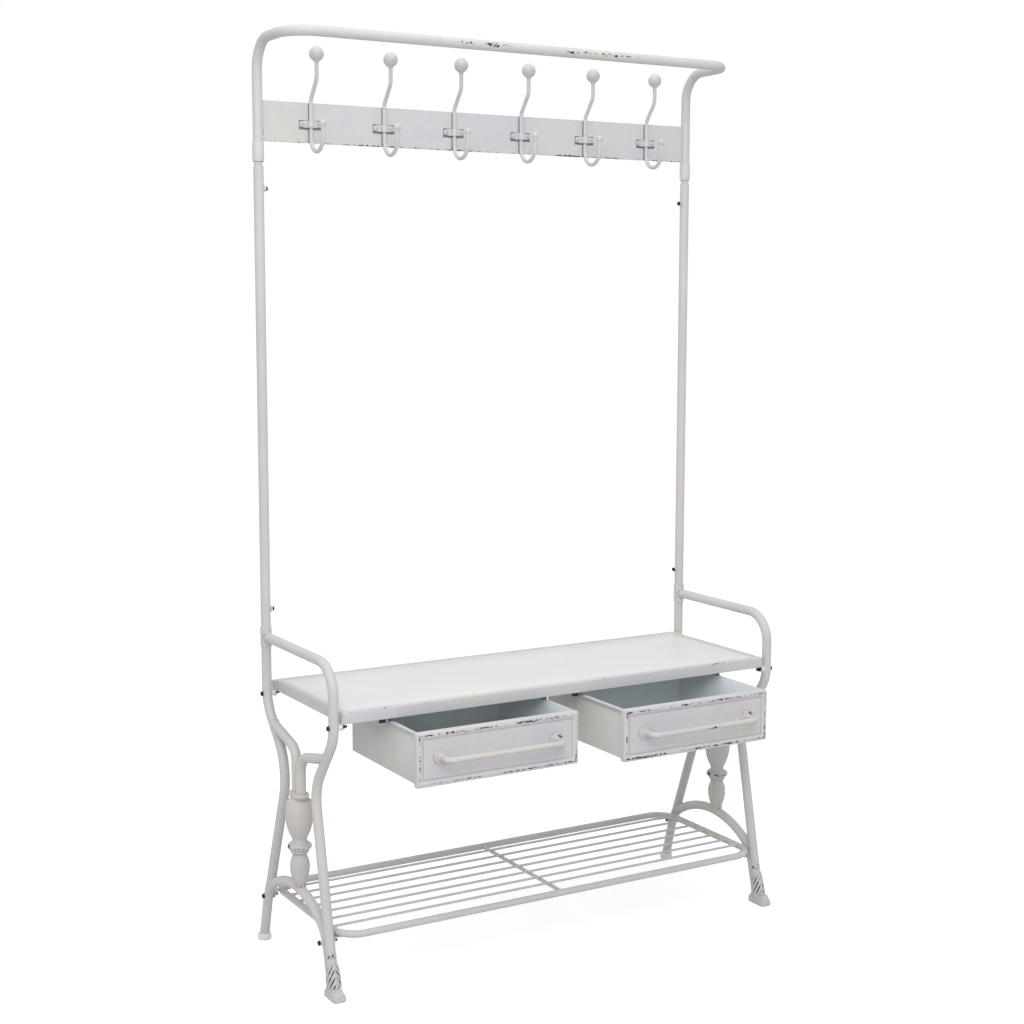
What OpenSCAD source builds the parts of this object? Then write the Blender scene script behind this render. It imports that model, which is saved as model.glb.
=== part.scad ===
// Hall tree: coat hooks over a bench with two drawers and a wire shoe shelf.
// Bent steel tube, pressed sheet and small castings. Millimetres, +Z up, the front faces -Y.
// The origin is on the floor, under the middle of the overall box.

/* [Overall] */
// Distance between the centres of the two uprights
frame_w = 1032; // [800:2:1200]
// Height of the centre of the top rail
rail_z = 1833; // [1700:1:2000]
// Distance from the uprights forward to the top rail
rail_out = 166; // [130:1:220]
// Distance from the uprights forward to the front legs
leg_out = 327; // [300:1:380]

/* [Tubes] */
// Outside diameter of the frame tubes
tube_d = 20; // [18:0.5:24]
// Wall of the frame tubes
tube_wall = 1.5; // [1:0.1:2.5]
// Outside diameter of the sleeves and collars round the joints
collar_d = 23; // [21.5:0.5:26]
// Outside diameter of the shelf loop
loop_d = 14; // [12:0.5:16]
// Diameter of the shelf rods
rod_d = 5; // [4:0.5:6]

/* [Top frame and hooks] */
// Centre-line radius of the bends in the top rail
rail_bend = 58; // [45:1:70]
// Height of the lower end of the top frame
top_frame_z = 1600; // [1500:1:1620]
// Lower edge of the hook board
board_z = 1640; // [1640:1:1660]
// Height of the hook board
board_h = 79; // [60:1:100]
// Number of hooks
hook_n = 6; // [6:1:6]
// Distance between hooks
hook_pitch = 162; // [120:1:180]
// Diameter of the hook wire
wire_d = 8; // [6:0.5:10]
// Diameter of the upper ball of each hook
ball_d = 29; // [20:1:32]
// Diameter of the lower ball of each hook
tip_d = 15; // [12:1:18]

/* [Side frames] */
// Height of the centre of the arm rest
arm_z = 651; // [620:1:680]
// Distance from the uprights forward to the turned baluster
baluster_out = 158; // [140:1:170]
// Lean of the two feet of the arch from upright, in degrees
foot_lean = 15; // [13:0.5:16]

/* [Bench] */
// Height of the top of the seat
seat_z = 561.5; // [540:0.5:580]
// Height of the apron round the seat
apron_h = 23; // [20:0.5:26]
// Length of the seat
seat_w = 998; // [700:2:1010]
// Depth of the seat from front to back
seat_d = 331.5; // [300:0.5:345]

/* [Drawers] */
// Width of a drawer front
front_w = 356; // [300:2:370]
// Height of a drawer front
front_h = 105; // [80:1:130]
// Distance from the middle of the rack to the middle of a drawer
drawer_x = 218; // [210:1:230]
// Length of a drawer from its face to its back
drawer_len = 300; // [240:1:310]
// How far the left drawer stands open
open_left = 103; // [0:1:200]
// How far the right drawer stands open
open_right = 146; // [0:1:200]

/* [Shelf] */
// Height of the centre of the shelf loop
shelf_z = 118; // [118:1:120]
// Number of rods
rod_n = 7; // [5:1:9]

/* [Hidden] */
$fn = 48;

paint = "GhostWhite";
paint_cool = "Lavender";
bare_steel = "DimGray";
half_w = frame_w / 2;
tube_r = tube_d / 2;
bore_d = tube_d - 2 * tube_wall;
play = 0.2;
spigot_d = bore_d - play;
slim = 0.1;
slip = 0.6;
// Upright joints
sleeve_h = 38;
upright_top = top_frame_z - 8;
collar_h = 41;
collar_z = arm_z - collar_h / 2;
upright_foot = collar_z + collar_h;
lock_z = [upright_top - 44, upright_foot + 36];
spigot_grip = 62;
lock_d = 6;
// Rear leg: a shallow S bent in the side plane
leg_foot_slope = 20.5;
rear_s = [[collar_z - 545, 42, 80, 0], [58, 42 + leg_foot_slope, 110, 180], [232, 0, 0, 0]];
// Front leg with its arm rest
arm_bend = 60;
front_slope = 11.8;
front_s = [
    [leg_out - arm_bend, 90, arm_bend, 0],
    [56, 38, 75, 0],
    [81, 38 + front_slope, 86, 180],
    [290, 0, 0, 0]
];
// Arch: two feet joined over the shelf
arch_top = 168;
arch_r = 228;
arch_side = 32;
arch_corner_r = 67;
arch_corner = 90 - foot_lean - arch_side;
corner_z = arch_top - arch_r * (1 - cos(arch_side));
straight_z = corner_z - arch_corner_r * (cos(arch_side) - cos(90 - foot_lean));
straight_y = arch_r * sin(arch_side)
    + arch_corner_r * (sin(90 - foot_lean) - sin(arch_side));
foot_start = 4;
foot_run = (straight_z - foot_start) / cos(foot_lean);
arch_mid = 137.5;
arch_half = straight_y + (straight_z - foot_start) * tan(foot_lean);
arch_s = [
    [foot_run, arch_corner, arch_corner_r, 0],
    [2, 2 * arch_side, arch_r - 2, 0],
    [2, arch_corner, arch_corner_r, 0],
    [foot_run, 0, 0, 0]
];
// Branches that carry the baluster
twin = 10.5;
baluster_z = 366;
// Baluster
waist_r = 14;
belly_r = 28;
// Hooks
board_t = 2;
hook_gap = 0.2;
hook_y = -(board_t / 2 + hook_gap + wire_d / 2);
hook_u = 29;
hook_lean = 38;
hook_bend = 20;
hook_foot = 1651;
hook_ball_z = 1810;
hook_kick = 30.5;
kick_run = (hook_kick - 2 * hook_bend * (1 - cos(hook_lean))) / sin(hook_lean);
kick_drop = 2 * hook_bend * sin(hook_lean) + kick_run * cos(hook_lean);
hook_neck = hook_ball_z - ball_d / 2 + 1;
kick_z = 1770;
clip_z = 1677;
// Bench
apron_z = seat_z - apron_h;
seat_back = -1.5;
seat_front = seat_back - seat_d;
sheet = 1.5;
lip = 12;
panel_t = 11;
panel_gap = 1;
tray_floor = seat_z - 12;
bracket_t = 2;
bolt_d = 5;
bolt_hole = 5.5;
nut_d = 9;
seat_bolt_z = apron_z - 5;
seat_bolt_y = [-1, -leg_out];
// Drawers
box_sheet = 1.2;
front_t = 14;
top_gap = 8;
front_top = apron_z - top_gap;
front_z = front_top - front_h;
box_half = front_w / 2 - 6;
box_z = front_z + 3;
hem = 5;
hem_h = 5.5;
border = 13;
recess = 3;
groove = 1.5;
closed_y = seat_front - 1;
runner_x = box_half + hem + 1.5;
runner_lip_z = front_top - hem_h - 2.5;
pull_w = 255;
pull_d = 10;
pull_out = 32;
pull_bend = 12;
rosette_d = 30;
rosette_t = 5;
pull_z = front_z + front_h / 2 + 2;
// Shelf
loop_x = half_w - 18;
loop_front = 319;
loop_back = 20;
loop_corner = 50;
bar_d = 8;
rod_z = shelf_z + (bar_d + rod_d) / 2;
rod_pitch = 40.5;
loop_mid = (loop_back - loop_front) / 2;
tab_t = 2.5;
tab_w = 14;
shelf_bolt_z = 102;
tab_spread = arch_half - (shelf_bolt_z - foot_start) * tan(foot_lean);
rear_tab_y = tab_spread - arch_mid;
front_tab_y = -tab_spread - arch_mid;
cap_d = 28;
cap_h = 13;
pull_foot = recess - rosette_t;
// The overall box runs from the rear caps to the pull that stands furthest out
box_back = arch_half - arch_mid - 1 + cap_d / 2;
box_front = closed_y - max(open_left, open_right) - pull_out - pull_d / 2;
box_mid = -(box_back + box_front) / 2;

// Each list of moves is a bender's table: [straight, turn, bend radius, roll before the bend].
// A straight is a hair slimmer than the bends and slips a little way into them.
module tube_piece(d, bore) {
    difference() {
        circle(d = d);
        if (bore > 0) circle(d = bore);
    }
}

module bent_tube(d, bore, moves, i = 0) {
    if (i < len(moves)) {
        s = moves[i][0];
        a = moves[i][1];
        r = moves[i][2];
        low = i == 0 ? 0 : -slip;
        high = i == len(moves) - 1 ? s : s + slip;
        translate([0, 0, low])
            linear_extrude(high - low) tube_piece(d - slim, bore > 0 ? bore + slim : 0);
        translate([0, 0, s])
            rotate([0, 0, moves[i][3]]) {
                if (a > 0)
                    translate([r, 0, 0])
                        rotate([90, 0, 180])
                            rotate_extrude(angle = a) translate([r, 0]) tube_piece(d, bore);
                translate([r * (1 - cos(a)), 0, r * sin(a)])
                    rotate([0, a, 0])
                        bent_tube(d, bore, moves, i + 1);
            }
    }
}

module at_sides() {
    for (side = [-1, 1]) translate([side * half_w, 0, 0]) children();
}

// Points local +Z at the side of the rack, +1 for the right
module along_x(side) {
    rotate([0, side * 90, 0]) children();
}

module origin_shift() {
    translate([0, box_mid, 0]) children();
}

// Heading down from a point in the side plane, turning to the front
module heading_down(y, z) {
    translate([0, y, z]) rotate([0, 180, 90]) children();
}

// ---- Top frame ----
rail_s = [
    [rail_z - rail_bend - top_frame_z, 90, rail_bend, 0],
    [rail_out - 2 * rail_bend, 90, rail_bend, 90],
    [frame_w - 2 * rail_bend, 90, rail_bend, 0],
    [rail_out - 2 * rail_bend, 90, rail_bend, -90],
    [rail_z - rail_bend - top_frame_z, 0, 0, 0]
];

module top_frame() {
    color(paint)
        translate([-half_w, 0, top_frame_z])
            rotate([0, 0, -90])
                bent_tube(tube_d, bore_d, rail_s);
}

module ring(outer, inner, h) {
    difference() {
        cylinder(d = outer, h = h);
        translate([0, 0, -1]) cylinder(d = inner, h = h + 2);
    }
}

module top_sleeves() {
    color(paint)
        at_sides()
            translate([0, 0, top_frame_z]) ring(collar_d, tube_d, sleeve_h);
}

module lock_hole(side, z) {
    translate([0, 0, z]) along_x(-side) cylinder(d = lock_d + play, h = tube_d);
}

module spigots(low, high, bolt_z) {
    color(bare_steel)
        for (side = [-1, 1])
            translate([side * half_w, 0, 0])
                difference() {
                    translate([0, 0, low]) ring(spigot_d, spigot_d - 3, high - low);
                    lock_hole(side, bolt_z);
                }
}

module upper_spigots() {
    spigots(upright_top - spigot_grip, top_frame_z + sleeve_h, lock_z[0]);
}

module lower_spigots() {
    spigots(collar_z + 2, upright_foot + spigot_grip, lock_z[1]);
}

module upright(side) {
    color(paint_cool)
        translate([side * half_w, 0, 0])
            difference() {
                translate([0, 0, upright_foot]) ring(tube_d, bore_d, upright_top - upright_foot);
                for (z = lock_z) lock_hole(side, z);
            }
}

module upright_left() { upright(-1); }
module upright_right() { upright(1); }

nut_seat = tube_r - 0.6;
nut_h = 4.6;

module at_locks() {
    for (side = [-1, 1], z = lock_z)
        translate([side * half_w, 0, z]) along_x(-side) children();
}

module weld_nuts() {
    color(paint)
        at_locks()
            difference() {
                translate([0, 0, nut_seat]) cylinder(d = 11.5, h = nut_h, $fn = 6);
                cylinder(d = lock_d + play, h = tube_d);
                along_x(1) translate([0, 0, -tube_d]) cylinder(d = tube_d, h = 2 * tube_d);
            }
}

module lock_bolts() {
    color(bare_steel)
        at_locks() {
            translate([0, 0, spigot_d / 2 - 3]) cylinder(d = lock_d, h = 11);
            translate([0, 0, nut_seat + nut_h]) cylinder(d = 8.5, h = 4);
        }
}

// ---- Hook board and hooks ----
clip_screw_x = 17;

module hook_board() {
    color(paint)
        difference() {
            translate([-half_w + tube_r, -board_t / 2, board_z])
                cube([frame_w - tube_d, board_t, board_h]);
            at_hooks()
                for (s = [-1, 1])
                    translate([s * clip_screw_x, 0, clip_z])
                        rotate([90, 0, 0]) cylinder(d = 4.2, h = 10, center = true);
        }
}

function hook_x(i) = (i - (hook_n + 1) / 2) * hook_pitch;

module at_hooks() {
    for (i = [1 : hook_n]) translate([hook_x(i), 0, 0]) children();
}

// From the upper ball down to the board, along it and forward round the U
hook_s = [
    [hook_neck - kick_z, hook_lean, hook_bend, 180],
    [kick_run, hook_lean, hook_bend, 180],
    [kick_z - kick_drop - hook_foot, 180, hook_u, 0],
    [18, 0, 0, 0]
];

module hook(i) {
    color(paint)
        translate([hook_x(i), 0, 0]) {
            heading_down(hook_y - hook_kick, hook_neck) bent_tube(wire_d, 0, hook_s);
            translate([0, hook_y - hook_kick, hook_ball_z]) sphere(d = ball_d);
            translate([0, hook_y - hook_kick, hook_neck - 9])
                cylinder(d1 = wire_d, d2 = wire_d + 7, h = 12);
            translate([0, hook_y - 2 * hook_u, hook_foot + 24]) sphere(d = tip_d);
        }
}

module hook_1() { hook(1); }
module hook_2() { hook(2); }
module hook_3() { hook(3); }
module hook_4() { hook(4); }
module hook_5() { hook(5); }
module hook_6() { hook(6); }

clip_h = 14;
clip_t = 1.6;
saddle_r = wire_d / 2 + 0.15;

// A strap over the wire with an ear on each side
module hook_clips() {
    color(paint_cool)
        at_hooks()
            translate([0, 0, clip_z - clip_h / 2])
                difference() {
                    union() {
                        translate([0, hook_y, 0]) cylinder(r = saddle_r + clip_t, h = clip_h);
                        translate([-23, -board_t / 2 - clip_t, 0]) cube([46, clip_t, clip_h]);
                    }
                    translate([0, hook_y, -1]) cylinder(r = saddle_r, h = clip_h + 2);
                    translate([-saddle_r, hook_y, -1]) cube([2 * saddle_r, 9, clip_h + 2]);
                    translate([-30, -board_t / 2, -1]) cube([60, 9, clip_h + 2]);
                    for (s = [-1, 1])
                        translate([s * clip_screw_x, 0, clip_h / 2])
                            rotate([90, 0, 0]) cylinder(d = 4.2, h = 20, center = true);
                }
}

module hook_screws() {
    color(paint)
        at_hooks()
            for (s = [-1, 1])
                translate([s * clip_screw_x, -board_t / 2 - clip_t, clip_z])
                    rotate([90, 0, 0]) {
                        cylinder(d = 8, h = 1.4);
                        translate([0, 0, 1.4]) cylinder(d1 = 8, d2 = 5, h = 1.2);
                        translate([0, 0, -6]) cylinder(d = 4, h = 6.5);
                    }
}

// ---- Side frames ----
module collar(side) {
    color(paint_cool)
        translate([side * half_w, 0, collar_z]) ring(collar_d, tube_d, collar_h);
}

module collar_left() { collar(-1); }
module collar_right() { collar(1); }

module arch_path(d, bore) {
    translate([0, arch_half - arch_mid, foot_start])
        rotate([0, 0, -90])
            rotate([0, foot_lean, 0])
                bent_tube(d, bore, arch_s);
}

// The leg tube runs up inside its collar and ends on the arch below
module rear_leg_path(d, bore) {
    heading_down(0, collar_z) bent_tube(d, bore, rear_s);
}

module front_leg_path(d, bore) {
    translate([0, 0, arm_z])
        rotate([90, 0, 0])
            rotate([0, 0, -90])
                bent_tube(d, bore, front_s);
}

module cross_hole(y, z) {
    translate([0, y, z]) along_x(1) cylinder(d = bolt_hole, h = 3 * tube_d, center = true);
}

module rear_leg(side) {
    color(paint)
        translate([side * half_w, 0, 0])
            difference() {
                union() {
                    rear_leg_path(tube_d, bore_d);
                    translate([0, 0, collar_z]) ring(tube_d, bore_d, collar_h - play);
                }
                cross_hole(seat_bolt_y[0], seat_bolt_z);
                arch_path(tube_d + 0.1, 0);
                translate([-50, -80, 0]) cube([100, 200, 128]);
            }
}

module rear_leg_left() { rear_leg(-1); }
module rear_leg_right() { rear_leg(1); }

module front_leg(side) {
    color(paint)
        translate([side * half_w, 0, 0])
            difference() {
                front_leg_path(tube_d, bore_d);
                cylinder(d = collar_d + 0.1, h = 2 * arm_z);
                cross_hole(seat_bolt_y[1], seat_bolt_z);
                arch_path(tube_d + 0.1, 0);
                translate([-50, -400, -50]) cube([100, 200, 50 + foot_joint_z]);
            }
}

module front_leg_left() { front_leg(-1); }
module front_leg_right() { front_leg(1); }

foot_joint_z = 92;

module arch(side) {
    color(paint_cool)
        translate([side * half_w, 0, 0])
            difference() {
                arch_path(tube_d, bore_d);
                cross_hole(rear_tab_y, shelf_bolt_z);
                cross_hole(front_tab_y, shelf_bolt_z);
            }
}

module arch_left() { arch(-1); }
module arch_right() { arch(1); }

// Where each branch starts, how steeply it falls and how tightly it turns down
rear_root = [-34, 478, 14, 30];
front_root = [-292, 465, 12, 40];

// From a leg toward the middle, falling a little, then down onto the baluster
module branch_path(root, toward, reach, d, bore) {
    slope = root[2];
    turn_r = root[3];
    run = (reach - turn_r * (1 - sin(slope))) / cos(slope);
    fall = run * sin(slope) + turn_r * cos(slope);
    translate([0, root[0], root[1]])
        rotate([0, 0, toward > 0 ? 90 : -90])
            rotate([0, 90 + slope, 0])
                bent_tube(d, bore, [
                    [run, 90 - slope, turn_r, 0],
                    [root[1] - fall - baluster_z, 0, 0, 0]
                ]);
}

module rear_branch(side) {
    color(paint)
        translate([side * half_w, 0, 0])
            difference() {
                branch_path(rear_root, -1, rear_root[0] + baluster_out - twin, tube_d, bore_d);
                rear_leg_path(tube_d + 0.1, 0);
            }
}

module rear_branch_left() { rear_branch(-1); }
module rear_branch_right() { rear_branch(1); }

module front_branch(side) {
    color(paint_cool)
        translate([side * half_w, 0, 0])
            difference() {
                branch_path(front_root, 1, -front_root[0] - baluster_out - twin, tube_d, bore_d);
                front_leg_path(tube_d + 0.1, 0);
            }
}

module front_branch_left() { front_branch(-1); }
module front_branch_right() { front_branch(1); }

// Half of a turned swelling: an arc from the widest point to the end of the swelling
module swell(z_wide, r_wide, z_end, r_end) {
    h = abs(z_end - z_wide);
    s = r_wide - r_end;
    arc_r = (h * h + s * s) / (2 * s);
    intersection() {
        translate([r_wide - arc_r, z_wide]) circle(r = arc_r, $fn = 96);
        translate([0, min(z_wide, z_end)]) square([r_wide, h]);
    }
}

module slice(z, r, h) {
    translate([0, z]) square([r, h]);
}

module baluster(side) {
    color(paint)
        translate([side * half_w, -baluster_out, 0])
            difference() {
                union() {
                    rotate_extrude() {
                        slice(168, 11.5, 14);
                        swell(216, 19.5, 181, 11.5);
                        swell(216, 19.5, 237, waist_r);
                        slice(236, waist_r + 0.5, 12.5);
                        slice(247.5, 18, 4.5);
                        slice(250.5, 19, 13);
                        translate([17.5, 257]) circle(r = 6.8);
                        slice(262.5, waist_r + 1, 9);
                        swell(318, belly_r, 271, waist_r);
                        swell(318, belly_r, 350, 22.5);
                        slice(349.5, 19.5, 3);
                        slice(352, 17, 9);
                    }
                    translate([0, 0, baluster_z - 7])
                        linear_extrude(7) {
                            for (s = [-1, 1]) translate([0, s * 10]) circle(r = 16);
                            translate([-16, -10]) square([32, 20]);
                        }
                }
                translate([0, baluster_out, 0]) arch_path(tube_d + 0.1, 0);
            }
}

module baluster_left() { baluster(-1); }
module baluster_right() { baluster(1); }

module rear_foot(side) {
    color(paint_cool)
        translate([side * half_w, 0, 0])
            difference() {
                translate([0, arch_half - arch_mid - 1, 0]) {
                    cylinder(d = cap_d, h = cap_h - 2);
                    translate([0, 0, cap_h - 2]) cylinder(d1 = cap_d, d2 = cap_d - 4, h = 2);
                }
                arch_path(tube_d + 0.1, 0);
            }
}

module rear_foot_left() { rear_foot(-1); }
module rear_foot_right() { rear_foot(1); }

shoe_w = 26;
shoe_l = 52;
shoe_h = 15;
shoe_r = 7;
shoe_y = -320;

// The casting: a shoe, and a leaf that carries the line of the leg down to it
module front_foot(side) {
    color(paint)
        translate([side * half_w, 0, 0])
            difference() {
                union() {
                    linear_extrude(shoe_h) {
                        for (sx = [-1, 1], sy = [-1, 1])
                            translate([sx * (shoe_w / 2 - shoe_r), shoe_y + sy * (shoe_l / 2 - shoe_r)])
                                circle(r = shoe_r);
                        translate([-shoe_w / 2, shoe_y - shoe_l / 2 + shoe_r])
                            square([shoe_w, shoe_l - 2 * shoe_r]);
                        translate([-shoe_w / 2 + shoe_r, shoe_y - shoe_l / 2])
                            square([shoe_w - 2 * shoe_r, shoe_l]);
                    }
                    translate([0, leaf_foot_y, 4])
                        rotate([-front_slope, 0, 0]) {
                            cylinder(r1 = 13, r2 = 13.5, h = 32);
                            translate([0, 0, 32]) cylinder(r1 = 13.5, r2 = tube_r, h = 35);
                            translate([0, 0, 67]) cylinder(r = tube_r, h = 30);
                        }
                }
                arch_path(tube_d + 0.1, 0);
                translate([-50, -400, foot_joint_z - play]) cube([100, 200, 50]);
                translate([-50, -400, -50]) cube([100, 200, 50]);
            }
}

// Where the line of the front leg meets the shoe
leaf_foot_y = -318;

module front_foot_left() { front_foot(-1); }
module front_foot_right() { front_foot(1); }

// ---- Bench ----
module seat_block(inset, z, h) {
    translate([-seat_w / 2 + inset, seat_front + inset, z])
        cube([seat_w - 2 * inset, seat_d - 2 * inset, h]);
}

// Folded sheet: an apron, a hollow raised lip and a sunk floor for the panel
module seat_tray() {
    color(paint_cool)
        difference() {
            seat_block(0, apron_z, apron_h);
            seat_block(lip, tray_floor, 2 * apron_h);
            seat_block(sheet, apron_z - 1, tray_floor - sheet - apron_z + 1);
            difference() {
                seat_block(sheet, tray_floor - sheet - 0.1, seat_z - tray_floor + 0.1);
                seat_block(lip - sheet, tray_floor - sheet, apron_h);
            }
        }
}

module seat_panel() {
    color("White")
        seat_block(lip + panel_gap, tray_floor, panel_t);
}

module at_seat_bolts() {
    for (side = [-1, 1], y = seat_bolt_y)
        translate([side * half_w, y, seat_bolt_z]) along_x(side) children();
}

bracket_x = seat_w / 2;
bracket_low = apron_z - 11;

// Flat lugs that hang at the ends of the seat
module seat_brackets() {
    color(paint)
        for (side = [-1, 1], front = [0, 1]) {
            y0 = front == 1 ? seat_front + 0.5 : -9;
            difference() {
                translate([side > 0 ? bracket_x : -bracket_x - bracket_t, y0, bracket_low])
                    cube([bracket_t, front == 1 ? 20 : 18, 31]);
                translate([side * half_w, seat_bolt_y[front], seat_bolt_z])
                    along_x(side) cylinder(d = bolt_hole, h = 80, center = true);
            }
        }
}

spacer_h = half_w - tube_r - bracket_x - bracket_t;

module seat_spacers() {
    color(paint)
        difference() {
            at_seat_bolts() translate([0, 0, -tube_r - spacer_h]) ring(12, bolt_hole, spacer_h + 2);
            for (side = [-1, 1]) translate([side * half_w, 0, 0]) {
                rear_leg_path(tube_d + 0.1, 0);
                front_leg_path(tube_d + 0.1, 0);
            }
        }
}

module seat_bolts() {
    color(bare_steel)
        at_seat_bolts() {
            translate([0, 0, -26]) cylinder(d = bolt_d, h = 26 + tube_r + 1);
            translate([0, 0, tube_r + 0.3]) cylinder(d = 10, h = 1.6);
            translate([0, 0, tube_r + 1.9]) cylinder(d1 = 10, d2 = 6, h = 2.6);
        }
}

module seat_nuts() {
    color(bare_steel)
        at_seat_bolts()
            translate([0, 0, -half_w + bracket_x - 5])
                difference() {
                    cylinder(d = nut_d, h = 5, $fn = 6);
                    translate([0, 0, -1]) cylinder(d = bolt_d + 0.1, h = 7);
                }
}

// A folded runner: a top flange on the tray, a web, and a lip under the drawer's hem
module runner(side) {
    y0 = closed_y + front_t + 5;
    len = drawer_len - 5;
    web = [runner_x, runner_lip_z];
    mirror([side > 0 ? 0 : 1, 0, 0]) {
        translate([web[0], y0, web[1]]) cube([sheet, len, tray_floor - sheet - web[1]]);
        translate([web[0] - 5, y0, web[1]]) cube([5 + sheet, len, sheet]);
        translate([web[0], y0, tray_floor - 2 * sheet]) cube([26, len, sheet]);
    }
}

module runners(side) {
    color(paint)
        translate([side * drawer_x, 0, 0])
            for (s = [-1, 1]) runner(s);
}

module runners_left() { runners(-1); }
module runners_right() { runners(1); }

stop_size = [12, 6, 16.5];

module runner_stops() {
    color("Black")
        for (side = [-1, 1])
            translate([side * drawer_x - runner_x - 24.5, seat_front + sheet, tray_floor - sheet])
                translate([0, 0, -stop_size[2]]) cube(stop_size);
}

// ---- Drawers ----
pull_x = [-pull_w / 2, pull_w / 2];

function face_y(side) = closed_y - (side < 0 ? open_left : open_right);

module at_drawer(side) {
    translate([side * drawer_x, face_y(side), 0]) children();
}

module pull_holes(d) {
    for (x = pull_x)
        translate([x, 0, pull_z]) rotate([-90, 0, 0]) cylinder(d = d, h = 60, center = true);
}

module drawer_box(side) {
    depth = drawer_len - front_t;
    wall_h = front_top - box_z;
    color(paint_cool)
        at_drawer(side)
            difference() {
                union() {
                    translate([-box_half, front_t, box_z]) cube([2 * box_half, depth, wall_h]);
                    for (s = [-1, 1])
                        translate([s > 0 ? box_half : -box_half - hem, front_t + 2, front_top - hem_h])
                            cube([hem, depth - 4, hem_h]);
                }
                translate([-box_half + box_sheet, front_t + box_sheet, box_z + box_sheet])
                    cube([2 * (box_half - box_sheet), depth - 2 * box_sheet, wall_h]);
                pull_holes(4.4);
            }
}

module drawer_left_box() { drawer_box(-1); }
module drawer_right_box() { drawer_box(1); }

module face_block(inset, y, depth) {
    translate([-front_w / 2 + inset, y, front_z + inset])
        cube([front_w - 2 * inset, depth, front_h - 2 * inset]);
}

// A pressed face with a raised border, a groove and a sunk panel, hollow behind
module drawer_front(side) {
    color(paint)
        at_drawer(side)
            difference() {
                face_block(0, 0, front_t);
                face_block(border, -1, recess + 1);
                difference() {
                    face_block(border - groove, -1, recess + 2);
                    face_block(border, -2, 2 * recess + 4);
                }
                face_block(sheet, recess + 2 * sheet, front_t);
                pull_holes(4.4);
            }
}

module drawer_left_front() { drawer_front(-1); }
module drawer_right_front() { drawer_front(1); }

pull_s = [
    [pull_out - pull_bend + pull_foot, 90, pull_bend, 0],
    [pull_w - 2 * pull_bend, 90, pull_bend, 0],
    [pull_out - pull_bend + pull_foot, 0, 0, 0]
];

module drawer_pull(side) {
    color(paint)
        at_drawer(side)
            difference() {
                translate([-pull_w / 2, pull_foot, pull_z]) rotate([90, 0, 0]) bent_tube(pull_d, 0, pull_s);
                for (x = pull_x)
                    translate([x, pull_foot, pull_z])
                        rotate([90, 0, 0]) translate([0, 0, -1]) cylinder(d = 4.1, h = 13);
            }
}

module drawer_left_pull() { drawer_pull(-1); }
module drawer_right_pull() { drawer_pull(1); }

module drawer_rosettes(side) {
    color(paint)
        at_drawer(side)
            for (x = pull_x)
                translate([x, recess, pull_z])
                    rotate([90, 0, 0])
                        difference() {
                            union() {
                                cylinder(d = rosette_d, h = 2.5);
                                translate([0, 0, 2.5]) cylinder(d1 = rosette_d, d2 = 18, h = rosette_t - 2.5);
                            }
                            translate([0, 0, -1]) cylinder(d = 4.4, h = rosette_t + 2);
                        }
}

module drawer_left_rosettes() { drawer_rosettes(-1); }
module drawer_right_rosettes() { drawer_rosettes(1); }

// Screws from inside the drawer into the ends of the pull
module drawer_screws(side) {
    head_y = front_t + box_sheet;
    color(bare_steel)
        at_drawer(side)
            for (x = pull_x)
                translate([x, head_y, pull_z])
                    rotate([90, 0, 0]) {
                        cylinder(d = 4, h = head_y - pull_foot + 11);
                        translate([0, 0, -2.4]) cylinder(d1 = 5, d2 = 8, h = 2.4);
                    }
}

module drawer_left_screws() { drawer_screws(-1); }
module drawer_right_screws() { drawer_screws(1); }

// ---- Shelf ----
loop_s_long = 2 * (loop_x - loop_corner);
loop_s_short = loop_front + loop_back - 2 * loop_corner;

module loop_path(d, bore) {
    translate([0, -loop_front, shelf_z])
        rotate([0, 90, 0])
            rotate([0, 0, 90])
                bent_tube(d, bore, [
                    [loop_s_long / 2, 90, loop_corner, 0],
                    [loop_s_short, 90, loop_corner, 0],
                    [loop_s_long, 90, loop_corner, 0],
                    [loop_s_short, 90, loop_corner, 0],
                    [loop_s_long / 2, 0, 0, 0]
                ]);
}

module shelf_loop() {
    color(paint) loop_path(loop_d, loop_d - 2.4);
}

module shelf_rods() {
    color(paint)
        difference() {
            for (k = [0 : rod_n - 1])
                translate([0, loop_mid + (k - (rod_n - 1) / 2) * rod_pitch, rod_z])
                    along_x(1) cylinder(d = rod_d, h = 2 * loop_x + 1, center = true);
            for (s = [-1, 1])
                translate([s * loop_x, -loop_front, shelf_z])
                    rotate([-90, 0, 0]) cylinder(d = loop_d + 0.05, h = loop_front + loop_back);
        }
}

module shelf_cross_bar() {
    color(paint)
        difference() {
            translate([0, -loop_front, shelf_z])
                rotate([-90, 0, 0]) cylinder(d = bar_d - 0.05, h = loop_front + loop_back);
            for (y = [-loop_front, loop_back])
                translate([0, y, shelf_z])
                    along_x(1) cylinder(d = loop_d + 0.05, h = 60, center = true);
        }
}

tab_y = [rear_tab_y, front_tab_y];
tab_reach = [36, 18];
tab_top = shelf_z - loop_d / 2;

// Angle tabs under the loop, bolted to the legs
module shelf_tabs() {
    color(paint_cool)
        for (side = [-1, 1], end = [0, 1])
            mirror([side > 0 ? 0 : 1, 0, 0])
                difference() {
                    union() {
                        translate([half_w - tube_r - tab_t, tab_y[end] - tab_w / 2, tab_top - 15])
                            cube([tab_t, tab_w, 15]);
                        translate([half_w - tube_r - tab_reach[end], tab_y[end] - tab_w / 2, tab_top - tab_t])
                            cube([tab_reach[end], tab_w, tab_t]);
                    }
                    translate([half_w, tab_y[end], shelf_bolt_z])
                        along_x(1) cylinder(d = bolt_hole, h = 80, center = true);
                    translate([half_w, 0, 0]) front_leg_path(tube_d + 0.1, 0);
                    translate([half_w, 0, 0]) arch_path(tube_d + 0.1, 0);
                }
}

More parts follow.
